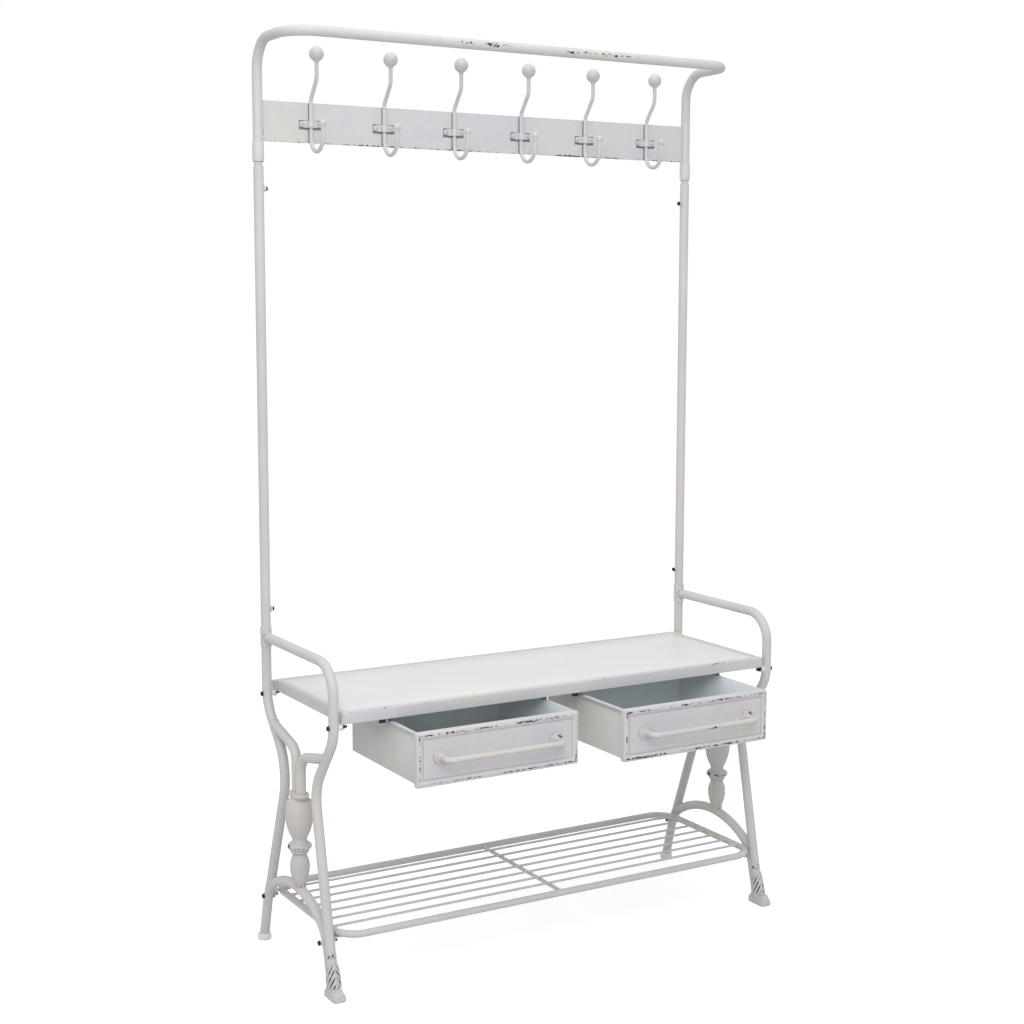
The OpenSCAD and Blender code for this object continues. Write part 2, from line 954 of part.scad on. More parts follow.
module at_shelf_bolts() {
    for (side = [-1, 1], y = tab_y)
        translate([side * half_w, y, shelf_bolt_z]) along_x(side) children();
}

module shelf_bolts() {
    color(bare_steel)
        for (side = [-1, 1], end = [0, 1])
            translate([side * half_w, tab_y[end], shelf_bolt_z])
                along_x(side) {
                    head_z = tube_r + 0.3 + 5 * end;
                    translate([0, 0, -20]) cylinder(d = bolt_d, h = 20 + head_z + 1);
                    translate([0, 0, tube_r + 0.3]) cylinder(d = 8, h = 5 * end + 1);
                    translate([0, 0, head_z]) cylinder(d = 10, h = 1.6);
                    translate([0, 0, head_z + 1.6]) cylinder(d1 = 10, d2 = 6, h = 2.6);
                }
}

module shelf_nuts() {
    color(bare_steel)
        at_shelf_bolts()
            translate([0, 0, -tube_r - tab_t - 5])
                difference() {
                    cylinder(d = nut_d, h = 5, $fn = 6);
                    translate([0, 0, -1]) cylinder(d = bolt_d + 0.1, h = 7);
                }
}

origin_shift() top_frame();
origin_shift() top_sleeves();
origin_shift() upper_spigots();
origin_shift() hook_board();
origin_shift() hook_1();
origin_shift() hook_2();
origin_shift() hook_3();
origin_shift() hook_4();
origin_shift() hook_5();
origin_shift() hook_6();
origin_shift() hook_clips();
origin_shift() hook_screws();
origin_shift() upright_left();
origin_shift() upright_right();
origin_shift() lower_spigots();
origin_shift() weld_nuts();
origin_shift() lock_bolts();
origin_shift() collar_left();
origin_shift() collar_right();
origin_shift() rear_leg_left();
origin_shift() rear_leg_right();
origin_shift() front_leg_left();
origin_shift() front_leg_right();
origin_shift() rear_branch_left();
origin_shift() rear_branch_right();
origin_shift() front_branch_left();
origin_shift() front_branch_right();
origin_shift() baluster_left();
origin_shift() baluster_right();
origin_shift() arch_left();
origin_shift() arch_right();
origin_shift() rear_foot_left();
origin_shift() rear_foot_right();
origin_shift() front_foot_left();
origin_shift() front_foot_right();
origin_shift() seat_tray();
origin_shift() seat_panel();
origin_shift() seat_brackets();
origin_shift() seat_spacers();
origin_shift() seat_bolts();
origin_shift() seat_nuts();
origin_shift() runners_left();
origin_shift() runners_right();
origin_shift() runner_stops();
origin_shift() drawer_left_box();
origin_shift() drawer_left_front();
origin_shift() drawer_left_pull();
origin_shift() drawer_left_rosettes();
origin_shift() drawer_left_screws();
origin_shift() drawer_right_box();
origin_shift() drawer_right_front();
origin_shift() drawer_right_pull();
origin_shift() drawer_right_rosettes();
origin_shift() drawer_right_screws();
origin_shift() shelf_loop();
origin_shift() shelf_rods();
origin_shift() shelf_cross_bar();
origin_shift() shelf_tabs();
origin_shift() shelf_bolts();
origin_shift() shelf_nuts();
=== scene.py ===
import math
import random
import bmesh
import bpy
from mathutils import Matrix, Vector, noise


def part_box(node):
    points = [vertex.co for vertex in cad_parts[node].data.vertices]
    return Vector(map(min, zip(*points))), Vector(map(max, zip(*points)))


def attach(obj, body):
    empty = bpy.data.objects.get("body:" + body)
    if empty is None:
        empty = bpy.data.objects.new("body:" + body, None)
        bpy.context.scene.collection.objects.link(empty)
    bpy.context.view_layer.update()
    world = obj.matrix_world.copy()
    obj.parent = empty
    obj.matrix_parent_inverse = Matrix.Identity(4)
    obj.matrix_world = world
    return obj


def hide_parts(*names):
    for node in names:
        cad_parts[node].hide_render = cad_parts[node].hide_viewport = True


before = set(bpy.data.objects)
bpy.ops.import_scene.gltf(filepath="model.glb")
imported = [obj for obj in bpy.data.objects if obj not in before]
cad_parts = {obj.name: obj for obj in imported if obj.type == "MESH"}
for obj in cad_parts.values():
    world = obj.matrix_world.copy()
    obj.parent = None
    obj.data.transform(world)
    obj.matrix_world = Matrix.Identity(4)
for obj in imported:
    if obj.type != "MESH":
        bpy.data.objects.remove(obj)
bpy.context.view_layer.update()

# A hall tree of bent steel tube, pressed sheet and small castings, brush painted off-white and
# rubbed through to brown. Lengths below are in millimetres, and become metres in place().
MM = 0.001
SIDES = {"left": -1, "right": 1}


def middle(node):
    low, high = (Vector(c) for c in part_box(node))
    return (low + high) / 2 / MM


def corners(node):
    return tuple(Vector(c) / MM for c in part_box(node))


# Uprights stand at x = +-HALF in the plane y = BACK.
HALF = middle("upright_right").x
BACK = middle("upright_right").y
TUBE = 10.0


def place(x, y, z):
    """A point given from the plane of the uprights, front at -y, as a point of the scene."""
    return Vector((x, y + BACK, z)) * MM


# ---------------------------------------------------------------- finishes

def colour(hex_code, alpha=1.0):
    """sRGB hex to the linear values that the shaders take."""
    parts = [int(hex_code[i:i + 2], 16) / 255 for i in (1, 3, 5)]
    lin = [c / 12.92 if c <= 0.04045 else ((c + 0.055) / 1.055) ** 2.4 for c in parts]
    return (*lin, alpha)


def add(tree, kind, settings=None, inputs=None):
    """Adds one node, sets its properties, and gives each input a value or another node's output."""
    made = tree.nodes.new("ShaderNode" + kind)
    for key, value in (settings or {}).items():
        setattr(made, key, value)
    for key, value in (inputs or {}).items():
        if isinstance(value, bpy.types.NodeSocket):
            tree.links.new(value, made.inputs[key])
        else:
            made.inputs[key].default_value = value
    return made


def blank(name):
    made = bpy.data.materials.new(name)
    made.use_nodes = True
    made.node_tree.nodes.clear()
    return made, made.node_tree


def ramp_stops(ramp, stops):
    while len(ramp.color_ramp.elements) < len(stops):
        ramp.color_ramp.elements.new(0.5)
    for element, (position, value) in zip(ramp.color_ramp.elements, stops):
        element.position = position
        element.color = value if isinstance(value, tuple) else (value, value, value, 1)


def rubbed_paint(name, coat, cool, warm, under="#2E1F1B", wax_and_shade_tone="#3B2A25", edge_wear=0.0,
                 gloss=0.42, grain=0.10):
    """Matt off-white paint brushed over brown primed steel: faint cool and warm clouds, a fine
    brushed orange peel, and small dark flakes where rims and grips have been rubbed through.
    The rub attribute sets where it flakes. The other attribute sets where cuts are waxed brown, and also lays
    painted shade in creases, grooves and under bars in the same brown."""
    material, tree = blank(name)
    here = add(tree, "TexCoord").outputs["Object"]
    # flakes are 2 to 4 mm long, drawn out along the rims, in strings 20 to 60 mm long
    drawn_out = add(tree, "Mapping", inputs={0: here, "Scale": (0.5, 0.8, 0.9)}).outputs[0]
    flake = add(tree, "TexNoise", inputs={"Vector": drawn_out, "Scale": 1 / (3.0 * MM), "Detail": 2.5,
                                          "Roughness": 0.55}).outputs["Fac"]
    string = add(tree, "TexNoise", inputs={"Vector": drawn_out, "Scale": 1 / (34 * MM),
                                           "Detail": 1.5}).outputs["Fac"]
    rub = add(tree, "Attribute", {"attribute_name": "rub"}).outputs["Fac"]
    if edge_wear:
        round_edge = add(tree, "Bevel", {"samples": 4}, {"Radius": 1.1 * MM}).outputs[0]
        true_face = add(tree, "NewGeometry").outputs["Normal"]
        facing = add(tree, "VectorMath", {"operation": "DOT_PRODUCT"},
                     {0: round_edge, 1: true_face}).outputs["Value"]
        edge = add(tree, "MapRange", inputs={"Value": facing, "From Min": 1.0, "From Max": 0.8,
                                             "To Min": 0.0, "To Max": edge_wear}).outputs[0]
        rub = add(tree, "Math", {"operation": "MAXIMUM"}, {0: rub, 1: edge}).outputs[0]
    both = add(tree, "Mix", {"data_type": "FLOAT"}, {"Factor": 0.42, "A": flake, "B": string}).outputs["Result"]
    level = add(tree, "Math", {"operation": "MULTIPLY_ADD"}, {0: rub, 1: 0.25, 2: both}).outputs[0]
    bare = add(tree, "MapRange", inputs={"Value": level, "From Min": 0.775, "From Max": 0.795}).outputs[0]
    rim = add(tree, "MapRange", inputs={"Value": level, "From Min": 0.745, "From Max": 0.78}).outputs[0]
    # clouds a hand's width across
    cloud = add(tree, "TexNoise", inputs={"Vector": here, "Scale": 1 / (140 * MM),
                                          "Detail": 3.0}).outputs["Fac"]
    mottle = add(tree, "TexNoise", inputs={"Vector": here, "Scale": 1 / (9 * MM), "Detail": 4.0}).outputs["Fac"]
    tints = add(tree, "ValToRGB", inputs={"Fac": cloud})
    ramp_stops(tints, [(0.34, colour(cool)), (0.5, colour(coat)), (0.68, colour(warm))])
    shade = add(tree, "MapRange", inputs={"Value": mottle, "From Min": 0.3, "From Max": 0.7,
                                          "To Min": 0.955, "To Max": 1.0}).outputs[0]
    paint = add(tree, "Mix", {"data_type": "RGBA", "blend_type": "MULTIPLY"},
                {"Factor": 1.0, 6: tints.outputs["Color"], 7: (1, 1, 1, 1)})
    grey = add(tree, "CombineColor", inputs={"Red": shade, "Green": shade, "Blue": shade}).outputs[0]
    tree.links.new(grey, paint.inputs[7])
    worn_thin = add(tree, "Mix", {"data_type": "RGBA"},
                    {"Factor": rim, 6: paint.outputs[2], 7: colour("#B09C92")})
    chipped = add(tree, "Mix", {"data_type": "RGBA"},
                  {"Factor": bare, 6: worn_thin.outputs[2], 7: colour(under)})
    # this attribute also carries painted shade: creases, grooves and undersides are darkened with the same brown
    wax_and_shade = add(tree, "Attribute", {"attribute_name": "wax_and_shade"}).outputs["Fac"]
    wax_and_shade_amount = add(tree, "MapRange", inputs={"Value": wax_and_shade, "From Min": 0.15, "From Max": 0.75}).outputs[0]
    skin = add(tree, "Mix", {"data_type": "RGBA"}, {"Factor": wax_and_shade_amount, 6: chipped.outputs[2], 7: colour(wax_and_shade_tone)})
    rough = add(tree, "MapRange", inputs={"Value": mottle, "From Min": 0.3, "From Max": 0.7,
                                          "To Min": gloss - 0.05, "To Max": gloss + 0.07}).outputs[0]
    rough = add(tree, "Mix", {"data_type": "FLOAT"}, {"Factor": bare, "A": rough, "B": 0.75}).outputs["Result"]
    peel = add(tree, "TexNoise", inputs={"Vector": here, "Scale": 1 / (1.6 * MM), "Detail": 2.0}).outputs["Fac"]
    brushed = add(tree, "Bump", inputs={"Strength": grain, "Distance": 0.25 * MM, "Height": peel})
    soft_dents = add(tree, "Bump", inputs={"Strength": 0.12, "Distance": 1.2 * MM, "Height": mottle,
                                           "Normal": brushed.outputs[0]})
    flaked = add(tree, "Bump", {"invert": True}, {"Strength": 0.8, "Distance": 0.25 * MM, "Height": bare,
                                                  "Normal": soft_dents.outputs[0]})
    shader = add(tree, "BsdfPrincipled", inputs={"Base Color": skin.outputs[2], "Roughness": rough, "IOR": 1.5,
                                                 "Specular IOR Level": 0.45, "Normal": flaked.outputs[0]})
    add(tree, "OutputMaterial", inputs={"Surface": shader.outputs[0]})
    return material


def bronzed_steel():
    """Bolts blackened and oiled, so they read as dark bronze with a soft glint and scuffed rims."""
    material, tree = blank("bronzed_steel_bolt")
    here = add(tree, "TexCoord").outputs["Object"]
    scuff = add(tree, "TexNoise", inputs={"Vector": here, "Scale": 1 / (1.5 * MM), "Detail": 4.0}).outputs["Fac"]
    tone = add(tree, "ValToRGB", inputs={"Fac": scuff})
    ramp_stops(tone, [(0.35, colour("#2B2423")), (0.6, colour("#4B403C")), (0.75, colour("#8B8078"))])
    shader = add(tree, "BsdfPrincipled", inputs={"Base Color": tone.outputs[0], "Metallic": 0.85,
                                                 "Roughness": 0.38})
    add(tree, "OutputMaterial", inputs={"Surface": shader.outputs[0]})
    return material


def black_rubber():
    """Moulded rubber stop: dull black with a faint bloom."""
    material, tree = blank("moulded_rubber_stop")
    here = add(tree, "TexCoord").outputs["Object"]
    bloom = add(tree, "TexNoise", inputs={"Vector": here, "Scale": 1 / (3 * MM), "Detail": 3.0}).outputs["Fac"]
    tone = add(tree, "ValToRGB", inputs={"Fac": bloom})
    ramp_stops(tone, [(0.3, colour("#0F0F10")), (0.8, colour("#2C2C2E"))])
    shader = add(tree, "BsdfPrincipled", inputs={"Base Color": tone.outputs[0], "Roughness": 0.7, "IOR": 1.52})
    add(tree, "OutputMaterial", inputs={"Surface": shader.outputs[0]})
    return material


def white_nylon():
    """Moulded nylon end cap and spacer: slightly milky, smooth with a fine pebble."""
    material, tree = blank("moulded_nylon_cap")
    here = add(tree, "TexCoord").outputs["Object"]
    pebble = add(tree, "TexNoise", inputs={"Vector": here, "Scale": 1 / (1.2 * MM), "Detail": 2.0}).outputs["Fac"]
    tone = add(tree, "ValToRGB", inputs={"Fac": pebble})
    ramp_stops(tone, [(0.3, colour("#DCDAD8")), (0.7, colour("#E9E7E5"))])
    bump = add(tree, "Bump", inputs={"Strength": 0.15, "Distance": 0.2 * MM, "Height": pebble})
    shader = add(tree, "BsdfPrincipled", inputs={"Base Color": tone.outputs[0], "Roughness": 0.5, "IOR": 1.53,
                                                 "Subsurface Weight": 0.05, "Normal": bump.outputs[0]})
    add(tree, "OutputMaterial", inputs={"Surface": shader.outputs[0]})
    return material


PAINT = rubbed_paint("brushed_paint_on_tube", "#CBC8C9", "#C6C4C9", "#CDCAC4")
SHEET = rubbed_paint("brushed_paint_on_sheet", "#CCCACC", "#C8C7CC", "#CECCC8", edge_wear=0.62)
CASTING = rubbed_paint("brushed_paint_on_casting", "#C9C5C3", "#C5C2C3", "#CCC8C0", edge_wear=0.35, grain=0.35)
PANEL = rubbed_paint("sprayed_paint_on_board", "#DEDCDB", "#DBDADA", "#DFDEDA", gloss=0.34, grain=0.04)
LINING = rubbed_paint("grey_primer_in_drawer", "#E0E7EA", "#DAE2E6", "#E3E8E8", gloss=0.5)
BOX = rubbed_paint("thin_paint_on_drawer_box", "#D3D5D0", "#C9CFCA", "#D6D6D0", edge_wear=0.62)
# painted shade: a dark bluish grey standing in for the contact shadow behind hook wires and straps
SHADED = rubbed_paint("painted_shade_behind_hooks", "#6F7180", "#6A6D7E", "#767581")
BOLT = bronzed_steel()
RUBBER = black_rubber()
NYLON = white_nylon()

# ---------------------------------------------------------------- making pieces


def finish_piece(name, bm, material, body="frame", stands_for=(), rub=None, wax_and_shade=None, crease=38):
    """Turns built faces into a riding piece. rub(point) says how hard that spot has been rubbed,
    and the second function how dark it is made: brown waxing in cuts, and painted shade in creases, grooves and
    under bars."""
    bmesh.ops.remove_doubles(bm, verts=bm.verts, dist=0.002 * MM)
    bmesh.ops.recalc_face_normals(bm, faces=bm.faces)
    mesh = bpy.data.meshes.new(name)
    bm.to_mesh(mesh)
    bm.free()
    made = bpy.data.objects.new(name, mesh)
    bpy.context.scene.collection.objects.link(made)
    for each in material if isinstance(material, (list, tuple)) else [material]:
        mesh.materials.append(each)
    mesh.shade_smooth()
    mesh.set_sharp_from_angle(angle=math.radians(crease))
    for title, amount in (("rub", rub), ("wax_and_shade", wax_and_shade)):
        layer = mesh.attributes.new(title, "FLOAT", "POINT")
        if amount:
            layer.data.foreach_set("value", [max(0.0, min(1.0, amount(v.co / MM))) for v in mesh.vertices])
    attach(made, body)
    if stands_for:
        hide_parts(*stands_for)
    return made


def moved_path(start, first_turn, moves, fine=4.0):
    """Follows a bender's table [straight, turn, bend radius, roll before the bend] from a frame."""
    frame_now = start @ first_turn
    points = [frame_now.translation.copy()]
    for straight, turn, radius, roll in moves:
        steps = max(1, round(straight / 14))
        for k in range(1, steps + 1):
            points.append(frame_now @ Vector((0, 0, straight * k / steps)))
        frame_now = frame_now @ Matrix.Translation((0, 0, straight))
        frame_now = frame_now @ Matrix.Rotation(math.radians(roll), 4, "Z")
        if turn:
            steps = max(2, math.ceil(turn / fine))
            for k in range(1, steps + 1):
                a = math.radians(turn * k / steps)
                points.append(frame_now @ Vector((radius * (1 - math.cos(a)), 0, radius * math.sin(a))))
            a = math.radians(turn)
            frame_now = frame_now @ Matrix.Translation((radius * (1 - math.cos(a)), 0, radius * math.sin(a)))
            frame_now = frame_now @ Matrix.Rotation(a, 4, "Y")
    clean = [points[0]]
    for p in points[1:]:
        if (p - clean[-1]).length > 0.05:
            clean.append(p)
    return clean


def sweep(bm, path, radii, sides=28, closed=False, square=None):
    """Skins a path (mm, from the uprights' plane) with rings; radii is one number or one a point."""
    radii = radii if isinstance(radii, (list, tuple)) else [radii] * len(path)
    count = len(path)
    tangents = []
    for i in range(count):
        a = path[(i - 1) % count] if closed or i > 0 else path[0]
        b = path[(i + 1) % count] if closed or i < count - 1 else path[-1]
        tangents.append((b - a).normalized())
    side = tangents[0].orthogonal().normalized()
    rings = []
    for i in range(count):
        side = (side - tangents[i] * side.dot(tangents[i])).normalized()
        up = tangents[i].cross(side)
        ring = []
        for k in range(sides):
            a = 2 * math.pi * k / sides
            across, rise = math.cos(a), math.sin(a)
            if square:
                across, rise = across * square[0], rise * square[1]
            p = path[i] + (side * across + up * rise) * radii[i]
            ring.append(bm.verts.new(place(*p)))
        rings.append(ring)
    last = count if closed else count - 1
    for i in range(last):
        a, b = rings[i], rings[(i + 1) % count]
        shift = 0
        if closed and i == count - 1:
            shift = min(range(sides), key=lambda s: (a[0].co - b[s].co).length)
        for k in range(sides):
            bm.faces.new((a[k], a[(k + 1) % sides], b[(k + 1 + shift) % sides], b[(k + shift) % sides]))
    if not closed:
        bm.faces.new(rings[0])
        bm.faces.new(list(reversed(rings[-1])))
    return rings


def lathe(bm, profile, frame_at, sides=40):
    """Turns a profile [(radius, height)] about the local Z axis of frame_at."""
    rings = []
    for radius, height in profile:
        if radius < 0.01:
            rings.append([bm.verts.new(place(*(frame_at @ Vector((0, 0, height)))))])
            continue
        rings.append([
            bm.verts.new(place(*(frame_at @ Vector((radius * math.cos(2 * math.pi * k / sides),
                                                    radius * math.sin(2 * math.pi * k / sides), height)))))
            for k in range(sides)])
    for a, b in zip(rings, rings[1:]):
        for k in range(sides):
            n = (k + 1) % sides
            if len(a) == 1:
                bm.faces.new((a[0], b[n], b[k]))
            elif len(b) == 1:
                bm.faces.new((a[k], a[n], b[0]))
            else:
                bm.faces.new((a[k], a[n], b[n], b[k]))
    for ring in (rings[0], rings[-1]):
        if len(ring) > 1:
            bm.faces.new(ring)


def rounded_loop(bm, frame_at, width, depth, inset, height, corner, segments=4):
    """One rounded rectangle of points, width x depth less an inset, in the local XY plane."""
    hw, hd = width / 2 - inset, depth / 2 - inset
    r = max(corner - inset, 0.25)
    ring = []
    for index, (sx, sy) in enumerate(((1, 1), (-1, 1), (-1, -1), (1, -1))):
        for k in range(segments + 1):
            a = math.pi / 2 * (index + k / segments)
            p = Vector((sx * (hw - r) + r * math.cos(a), sy * (hd - r) + r * math.sin(a), height))
            ring.append(bm.verts.new(place(*(frame_at @ p))))
    return ring


def stacked(bm, frame_at, width, depth, profile, corner=3.0, segments=4, cap_first=True, cap_last=True):
    """A pressed or moulded form: rounded rectangles, one for each (inset, height) of the profile."""
    rings = [rounded_loop(bm, frame_at, width, depth, i, h, corner, segments) for i, h in profile]
    count = len(rings[0])
    for a, b in zip(rings, rings[1:]):
        for k in range(count):
            n = (k + 1) % count
            bm.faces.new((a[k], a[n], b[n], b[k]))
    if cap_first:
        bm.faces.new(rings[0])
    if cap_last:
        bm.faces.new(rings[-1])
    return rings


def at(x=0, y=0, z=0, rx=0, ry=0, rz=0):
    turn = Matrix.Rotation(math.radians(rz), 4, "Z") @ Matrix.Rotation(math.radians(ry), 4, "Y")
    return Matrix.Translation((x, y, z)) @ turn @ Matrix.Rotation(math.radians(rx), 4, "X")


# heads a path downwards, so that a bend without roll turns it to the front
down_front = Matrix.Rotation(math.radians(90), 4, "Z") @ at(ry=180)


def sideways(side, x, y, z):
    """Local Z points away from the middle on that side."""
    return at(x, y, z, ry=90 * side)


def window(value, low, high, soft):
    rise = max(0.0, min(1.0, (value - low) / soft))
    fall = max(0.0, min(1.0, (high - value) / soft))
    return min(rise, fall)


def near(value, spot, reach):
    return max(0.0, 1.0 - abs(value - spot) / reach)


def distance_to(path, p):
    best = 1e9
    for a, b in zip(path, path[1:]):
        ab = b - a
        t = max(0.0, min(1.0, (p - a).dot(ab) / ab.length_squared))
        best = min(best, (a + ab * t - p).length)
    return best


def weld_bead(name, root, towards, radius, trunk, trunk_radius, body="frame", thick=1.7, seed=1):
    """A lumpy bead along the line where a tube meets another one."""
    towards = towards.normalized()
    u = towards.orthogonal().normalized()
    v = towards.cross(u)
    chance = random.Random(seed)
    line = []
    for k in range(40):
        a = 2 * math.pi * k / 40
        p = root + (u * math.cos(a) + v * math.sin(a)) * radius
        t = 0.0
        while t < 90 and distance_to(trunk, p + towards * t) > trunk_radius:
            t += 0.5
        if t < 90:
            line.append(p + towards * (t - 0.3))
    if len(line) < 30:
        return None
    bm = bmesh.new()
    sweep(bm, line, [thick * chance.uniform(0.75, 1.15) for _ in line], sides=8, closed=True)
    return finish_piece(name, bm, PAINT, body, rub=lambda p: 0.62, crease=80)


def tube_piece(name, path, stands_for, rub=None, radius=TUBE, material=None, sides=28, **more):
    bm = bmesh.new()
    sweep(bm, path, radius, sides)
    return finish_piece(name, bm, material or PAINT, stands_for=stands_for, rub=rub, **more)


# ---------------------------------------------------------------- top frame

SLEEVE_Z = 1600
upward = at(-HALF, 0, SLEEVE_Z)
rail_path = moved_path(upward, at(rz=-90), [
    (1833 - 58 - SLEEVE_Z, 90, 58, 0), (166 - 116, 90, 58, 90), (2 * HALF - 116, 90, 58, 0),
    (166 - 116, 90, 58, -90), (1833 - 58 - SLEEVE_Z, 0, 0, 0)])
tube_piece("bent_top_rail", rail_path, ["top_frame"], sides=32,
           rub=lambda p: 0.84 * window(p.x, -270, 345, 60) * near(p.z, 1834, 11) * (p.y < BACK - 166)
           + 0.3 * near(abs(p.x), HALF + 2, 18) * near(p.z, 1829, 20))

for side_name, side in SIDES.items():
    bm = bmesh.new()
    lathe(bm, [(9.4, 0), (11.0, 0), (11.5, 0.6), (11.5, 37.2), (11.0, 38), (10.0, 38.2)],
          at(side * HALF, 0, SLEEVE_Z))
    finish_piece(f"top_sleeve_{side_name}", bm, PAINT, stands_for=["top_sleeves"] if side < 0 else (),
                 rub=lambda p: 0.55 * max(near(p.z, 1600, 2), near(p.z, 1638, 2)))

UPRIGHT_FOOT, UPRIGHT_TOP = 671.5, 1592
for side_name, side in SIDES.items():
    path = [Vector((side * HALF, 0, UPRIGHT_FOOT + (UPRIGHT_TOP - UPRIGHT_FOOT) * k / 60)) for k in range(61)]
    tube_piece(f"upright_tube_{side_name}", path, [f"upright_{side_name}"],
               rub=lambda p: 0.5 * near(p.z, UPRIGHT_TOP, 3))

# ---------------------------------------------------------------- hook board and hooks

board_low, board_high = corners("hook_board")
bm = bmesh.new()
board_mid = at(0, 0, (board_low.z + board_high.z) / 2, rx=90)
stacked(bm, board_mid, board_high.x - board_low.x, board_high.z - board_low.z,
        [(4, -1.0), (0.5, -1.0), (0, -0.5), (0, 0.5), (0.5, 1.0), (2.5, 1.0), (7, 1.0), (12, 1.0)],
        corner=0.8, segments=2)
finish_piece("hook_board_plate", bm, SHEET, stands_for=["hook_board"],
             rub=lambda p: 1.2 * near(p.z, board_low.z, 6) + 0.3 * near(p.z, board_high.z, 2.0))
# painted shade: a narrow dark strip on the board behind each wire, and a dark patch a little larger than each strap,
# stand in for the contact shadow there
bm = bmesh.new()
for number in range(1, 7):
    stacked(bm, at(middle(f"hook_{number}").x, -1, (board_low.z + board_high.z) / 2, rx=90), 8.4, 76,
            [(0.2, 0.01), (0, 0.03), (0, 0.07), (0.1, 0.09)], corner=1, segments=2)
    stacked(bm, at(middle(f"hook_{number}").x, -1, 1675.5, rx=90), 48.5, 18.5,
            [(0.2, 0.01), (0, 0.03), (0, 0.05), (0.1, 0.06)], corner=1, segments=2)
finish_piece("shaded_strips_behind_hooks", bm, SHADED)

WIRE = 4.0
HOOK_Y = -(1 + 0.2 + WIRE)
BALL_Z, BALL_R, TIP_Z, TIP_R = 1810, 14.5, 1675, 7.5
KICK, KICK_R, KICK_LEAN = 30.5, 20, 38
lean_sin, lean_cos = math.sin(math.radians(KICK_LEAN)), math.cos(math.radians(KICK_LEAN))
kick_run = (KICK - 2 * KICK_R * (1 - lean_cos)) / lean_sin
kick_drop = 2 * KICK_R * lean_sin + kick_run * lean_cos


def hook_radius(p):
    """Wire radius at a point of the hook, swelling through a cone into a ball at each end."""
    r = WIRE
    if p.z > 1700:
        up = p.z - BALL_Z
        if abs(up) < BALL_R - 0.05:
            r = max(r, math.sqrt(BALL_R ** 2 - up ** 2))
        if 1792 < p.z < 1797:
            r = max(r, WIRE + 2.4 * ((p.z - 1792) / 5) ** 2)
    elif p.y < HOOK_Y - 50:
        up = p.z - TIP_Z
        if abs(up) < TIP_R - 0.05:
            r = max(r, math.sqrt(TIP_R ** 2 - up ** 2))
        if 1660 < p.z < TIP_Z:
            r = max(r, WIRE + 1.2 * (p.z - 1660) / 9)
    return r


hook_y_top = HOOK_Y - KICK
for number in range(1, 7):
    x = middle(f"hook_{number}").x
    wire = moved_path(at(x, hook_y_top, 1786), down_front, [
        (16, KICK_LEAN, KICK_R, 180), (kick_run, KICK_LEAN, KICK_R, 180), (1770 - kick_drop - 1651, 180, 29, 0),
        (8, 0, 0, 0)], fine=6)
    ball = [Vector((x, hook_y_top, BALL_Z + (BALL_R - 0.01) * math.cos(math.pi * k / 22))) for k in range(20)]
    neck = [Vector((x, hook_y_top, z)) for z in (1796.5, 1795, 1793, 1790.5)]
    tip_y = wire[-1].y
    tip = [Vector((x, tip_y, z)) for z in (1662, 1665, 1667.5)]
    tip += [Vector((x, tip_y, TIP_Z - (TIP_R - 0.01) * math.cos(math.pi * k / 16))) for k in range(2, 17)]
    path = [p for p in ball if p.z > 1797] + neck + wire + tip
    bm = bmesh.new()
    sweep(bm, path, [hook_radius(p) for p in path], sides=22)
    finish_piece(f"bent_hook_{number}", bm, PAINT, stands_for=[f"hook_{number}"], crease=75,
                 rub=lambda p: 0.35 * near(p.z, 1624, 6))

CLIP_Z, CLIP_H = 1677, 14
strap_line = [(-23, 0), (-9.5, 0)]
strap_line += [(-5.75 * math.cos(a), 4.0 + 5.75 * math.sin(a)) for a in
               [math.radians(t) for t in (-35, -12, 10, 35, 60, 90, 120, 145, 170, 192, 215)]]
strap_line += [(9.5, 0), (23, 0)]
bm = bmesh.new()
for number in range(1, 7):
    x = middle(f"hook_{number}").x
    rings = []
    for index, (across, out) in enumerate(strap_line):
        ax, ay = strap_line[max(index - 1, 0)]
        bx, by = strap_line[min(index + 1, len(strap_line) - 1)]
        along = Vector((bx - ax, by - ay)).normalized()
        normal = Vector((-along.y, along.x)) * 0.75
        end = 2.5 if index in (0, len(strap_line) - 1) else 0
        ring = []
        for shell, up in ((1, 1), (1, -1), (-1, -1), (-1, 1)):
            ring.append(bm.verts.new(place(x + across + normal.x * shell,
                                           -1 - 0.8 - out - normal.y * shell,
                                           CLIP_Z + up * (CLIP_H / 2 - end))))
        rings.append(ring)
    for a, b in zip(rings, rings[1:]):
        for k in range(4):
            bm.faces.new((a[k], a[(k + 1) % 4], b[(k + 1) % 4], b[k]))
    bm.faces.new(rings[0])
    bm.faces.new(rings[-1])
bmesh.ops.bevel(bm, geom=[e for e in bm.edges if e.calc_face_angle(0) > 0.9], offset=0.35 * MM, segments=2,
                affect="EDGES")
finish_piece("hook_straps", bm, SHEET, stands_for=["hook_clips"], rub=lambda p: 0.25)


